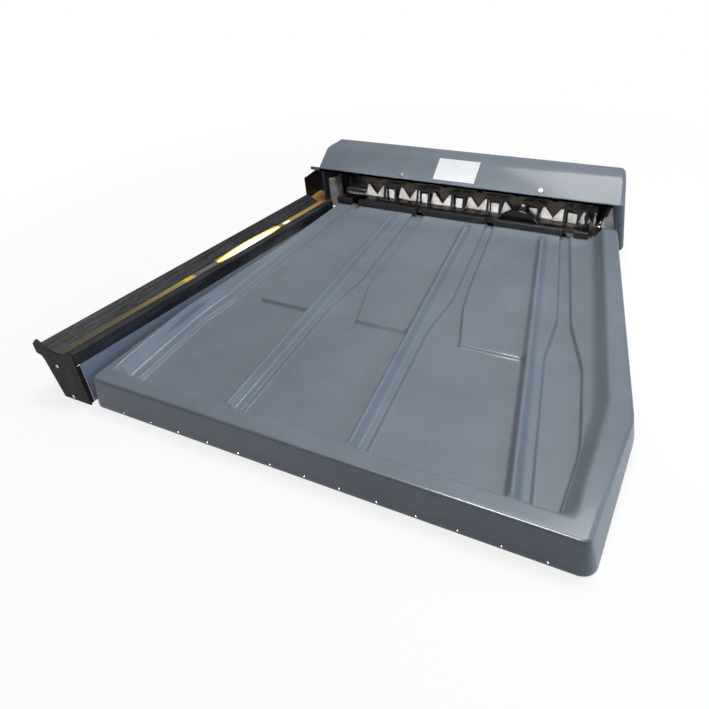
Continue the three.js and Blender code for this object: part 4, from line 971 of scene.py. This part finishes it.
def make_world(looks):
    """A dim room, tinted by direction, behind a plain white that only the camera sees."""
    world = bpy.data.worlds.new("studio")
    world.use_nodes = True
    bpy.context.scene.world = world
    sky = Paint("studio", world.node_tree)
    side = sky.axis("X", sky.node("TexCoord", output="Generated"))
    front = sky.axis("Y", sky.node("TexCoord", output="Generated"))
    tint = sky.blend(sky.ramp(side, -0.2, 0.9), looks.room_left, looks.room_right)
    tint = sky.blend(sky.ramp(front, 0.1, -0.8), tint, looks.room_front)
    room = sky.node("Background", {}, {"Color": tint, "Strength": looks.room_level}, "Background")
    plain = sky.node("Background", {}, {"Color": (1, 1, 1, 1), "Strength": 1.0}, "Background")
    camera_ray = sky.node("LightPath", output="Is Camera Ray")
    both = sky.node("MixShader", {}, {0: camera_ray, 1: room, 2: plain}, "Shader")
    out = sky.tree.nodes.new("ShaderNodeOutputWorld")
    sky.tree.links.new(both.socket, out.inputs["Surface"])


def make_stage(looks):
    """Floor, lamps, world and camera."""
    make_floor(looks)
    make_world(looks)
    lamp("overhead", looks.key_power)
    lamp("window", looks.window_power)
    lamp("glint", looks.glint_power).visible_diffuse = False
    fill = lamp("fill", looks.fill_power)
    fill.visible_glossy = fill.visible_camera = False
    fill.data.spread = FILL_SPREAD

    data = bpy.data.cameras.new("camera")
    data.lens = CAMERA_LENS
    data.sensor_width = SENSOR_WIDTH
    camera = bpy.data.objects.new("camera", data)
    bpy.context.scene.collection.objects.link(camera)
    right, down, ahead = Vector(CAMERA_RIGHT), Vector(CAMERA_DOWN), Vector(CAMERA_AHEAD)
    turned = Matrix((right, -down, -ahead)).transposed().to_4x4()
    camera.matrix_world = Matrix.Translation(at(*CAMERA_AT)) @ turned
    bpy.context.scene.camera = camera
    bpy.context.scene.view_settings.view_transform = "Standard"


def make_paints(looks):
    """Every finish of the machine by a short name."""
    lens_at = tuple(at(*on_channel(0, LENS_MIDDLE, 0)))
    port_at = tuple(at(*on_channel(0, PORT_MIDDLE, 0)))
    return {
        "moulded": moulded(looks), "ribbed": ribbed_black(CHANNEL_TURN), "side_panel": side_panel(),
        "black": black_plastic(),
        "black_metal": painted_metal("black_metal", "151413", "211f1d", 0.32, 0.5),
        "brown": painted_metal("brown_metal", "241f1b", "38312b", 0.2, 0.38),
        "glossy_black": painted_metal("glossy_black", "0b0b0c", "141518", 0.1, 0.2),
        "beam": painted_metal("beam_brown", "352f2b", "453e38", 0.4, 0.55),
        "end_plate": end_plate(), "white": white_plastic(), "steel": steel("bright_steel", "c4c6c8", 0.22),
        "dark_steel": steel("dark_steel", "8a8884", 0.2), "brass": steel("dull_brass", "9c8748", 0.34),
        "cast": steel("cast_grey", "9aa0a4", 0.5), "tan_strip": tan_strip(), "tan_floor_lamp_glow": tan_floor_lamp_glow(),
        "lens": lit("lit_window", 1.5, lens_at, LENS_HALF * MM, LENS_LONG * MM),
        "port": lit("lit_port", 0.8, port_at, PORT_HALF * MM, 2 * PORT_HALF * MM),
        "lamp": lit("lamp_tube", 1.5, lens_at, LENS_LONG * MM, LENS_LONG * MM),
        "rubber": rubber(), "label": label_white(), "cream": cream_plastic(),
    }


# Add-on

def colour_choice(name, screen_colour, words):
    """A colour property whose default is a screen colour."""
    return FloatVectorProperty(name=name, description=words, default=hexcol(screen_colour), subtype="COLOR",
                               size=4, min=0, max=1)


def power_choice(name, watts, words):
    """A lamp power property."""
    return FloatProperty(name=name, description=words, default=watts, min=0, unit="POWER")


class GraderLooks(bpy.types.PropertyGroup):
    """Colours and light levels a user may change."""
    moulded_dark: colour_choice("Moulding, darker tone", "6b747e", "Colour of its darker clouds")
    moulded_light: colour_choice("Moulding, lighter tone", "757e88", "Colour of its lighter clouds")
    room_left: colour_choice("Room, left", "e6e2dc", "Light from the left")
    room_right: colour_choice("Room, right", "a9c4ee", "Light from the right")
    room_front: colour_choice("Room, front", "78808e", "Light from the front")
    room_level: FloatProperty(name="Room level", description="Strength of the room's light",
                              default=0.4, min=0)
    key_power: power_choice("Overhead lamp", 31, "Power of the overhead lamp")
    window_power: power_choice("Window lamp", 16.5, "Power of the bluish lamp on the right")
    glint_power: power_choice("Glint lamp", 46, "Power of the lamp that shines in the front rim's rounding")
    fill_power: power_choice("Fill lamp", 0.14, "Power of the lamp that lights the seats under the hood")
    floor_bounce: FloatProperty(name="Floor bounce", description="Grey of the floor as the machine sees it",
                                default=0.36, min=0, max=1)
    floor_lift: FloatProperty(name="Floor lift", description="Share of plain white in the floor as seen",
                              default=0.82, min=0, max=1)


PAINTS = {}


def finishes(context):
    """The machine's materials, made once from the scene's looks."""
    if not PAINTS:
        PAINTS.update(make_paints(context.scene.grader_looks))
    return PAINTS


class GRADER_OT_stage(bpy.types.Operator):
    """Lay the floor, hang the lamps and set the camera"""
    bl_idname = "grader.stage"
    bl_label = "Stage"

    def execute(self, context):
        make_stage(context.scene.grader_looks)
        return {"FINISHED"}


class GRADER_OT_tray(bpy.types.Operator):
    """Build the moulded collecting tray"""
    bl_idname = "grader.tray"
    bl_label = "Collecting tray"

    def execute(self, context):
        make_tray(finishes(context))
        return {"FINISHED"}


class GRADER_OT_hood(bpy.types.Operator):
    """Build the moulded hood, its plate and screws"""
    bl_idname = "grader.hood"
    bl_label = "Hood"

    def execute(self, context):
        make_hood(finishes(context))
        return {"FINISHED"}


class GRADER_OT_channel(bpy.types.Operator):
    """Dress the rails, strips, lit windows and end plate"""
    bl_idname = "grader.channel"
    bl_label = "Candling channel"

    def execute(self, context):
        make_channel(finishes(context))
        return {"FINISHED"}


class GRADER_OT_seats(bpy.types.Operator):
    """Dress the seats, scale pans, walking beam and apron"""
    bl_idname = "grader.seats"
    bl_label = "Seats"

    def execute(self, context):
        make_seats(finishes(context))
        return {"FINISHED"}


class GRADER_OT_mechanism(bpy.types.Operator):
    """Dress the drive, frame plates and base"""
    bl_idname = "grader.mechanism"
    bl_label = "Mechanism"

    def execute(self, context):
        make_mechanism(finishes(context))
        return {"FINISHED"}


class GRADER_OT_fasteners(bpy.types.Operator):
    """Add the small screws and rivets"""
    bl_idname = "grader.fasteners"
    bl_label = "Fasteners"

    def execute(self, context):
        make_fasteners(finishes(context))
        return {"FINISHED"}


STEPS = [GRADER_OT_stage, GRADER_OT_tray, GRADER_OT_hood, GRADER_OT_channel, GRADER_OT_seats,
         GRADER_OT_mechanism, GRADER_OT_fasteners]


class GRADER_PT_panel(bpy.types.Panel):
    """Lists the steps in the 3D view's sidebar."""
    bl_label = "Egg grading machine"
    bl_idname = "GRADER_PT_panel"
    bl_space_type = "VIEW_3D"
    bl_region_type = "UI"
    bl_category = "Grader"

    def draw(self, context):
        for step in STEPS:
            self.layout.operator(step.bl_idname)
        for name in GraderLooks.__annotations__:
            self.layout.prop(context.scene.grader_looks, name)


CLASSES = [GraderLooks] + STEPS + [GRADER_PT_panel]


def register():
    for cls in CLASSES:
        bpy.utils.register_class(cls)
    bpy.types.Scene.grader_looks = PointerProperty(type=GraderLooks)


def unregister():
    del bpy.types.Scene.grader_looks
    for cls in reversed(CLASSES):
        bpy.utils.unregister_class(cls)


def main():
    register()
    for step in STEPS:
        build = getattr(bpy.ops.grader, step.bl_idname.split(".")[1])
        build()


if __name__ == "__main__":
    main()
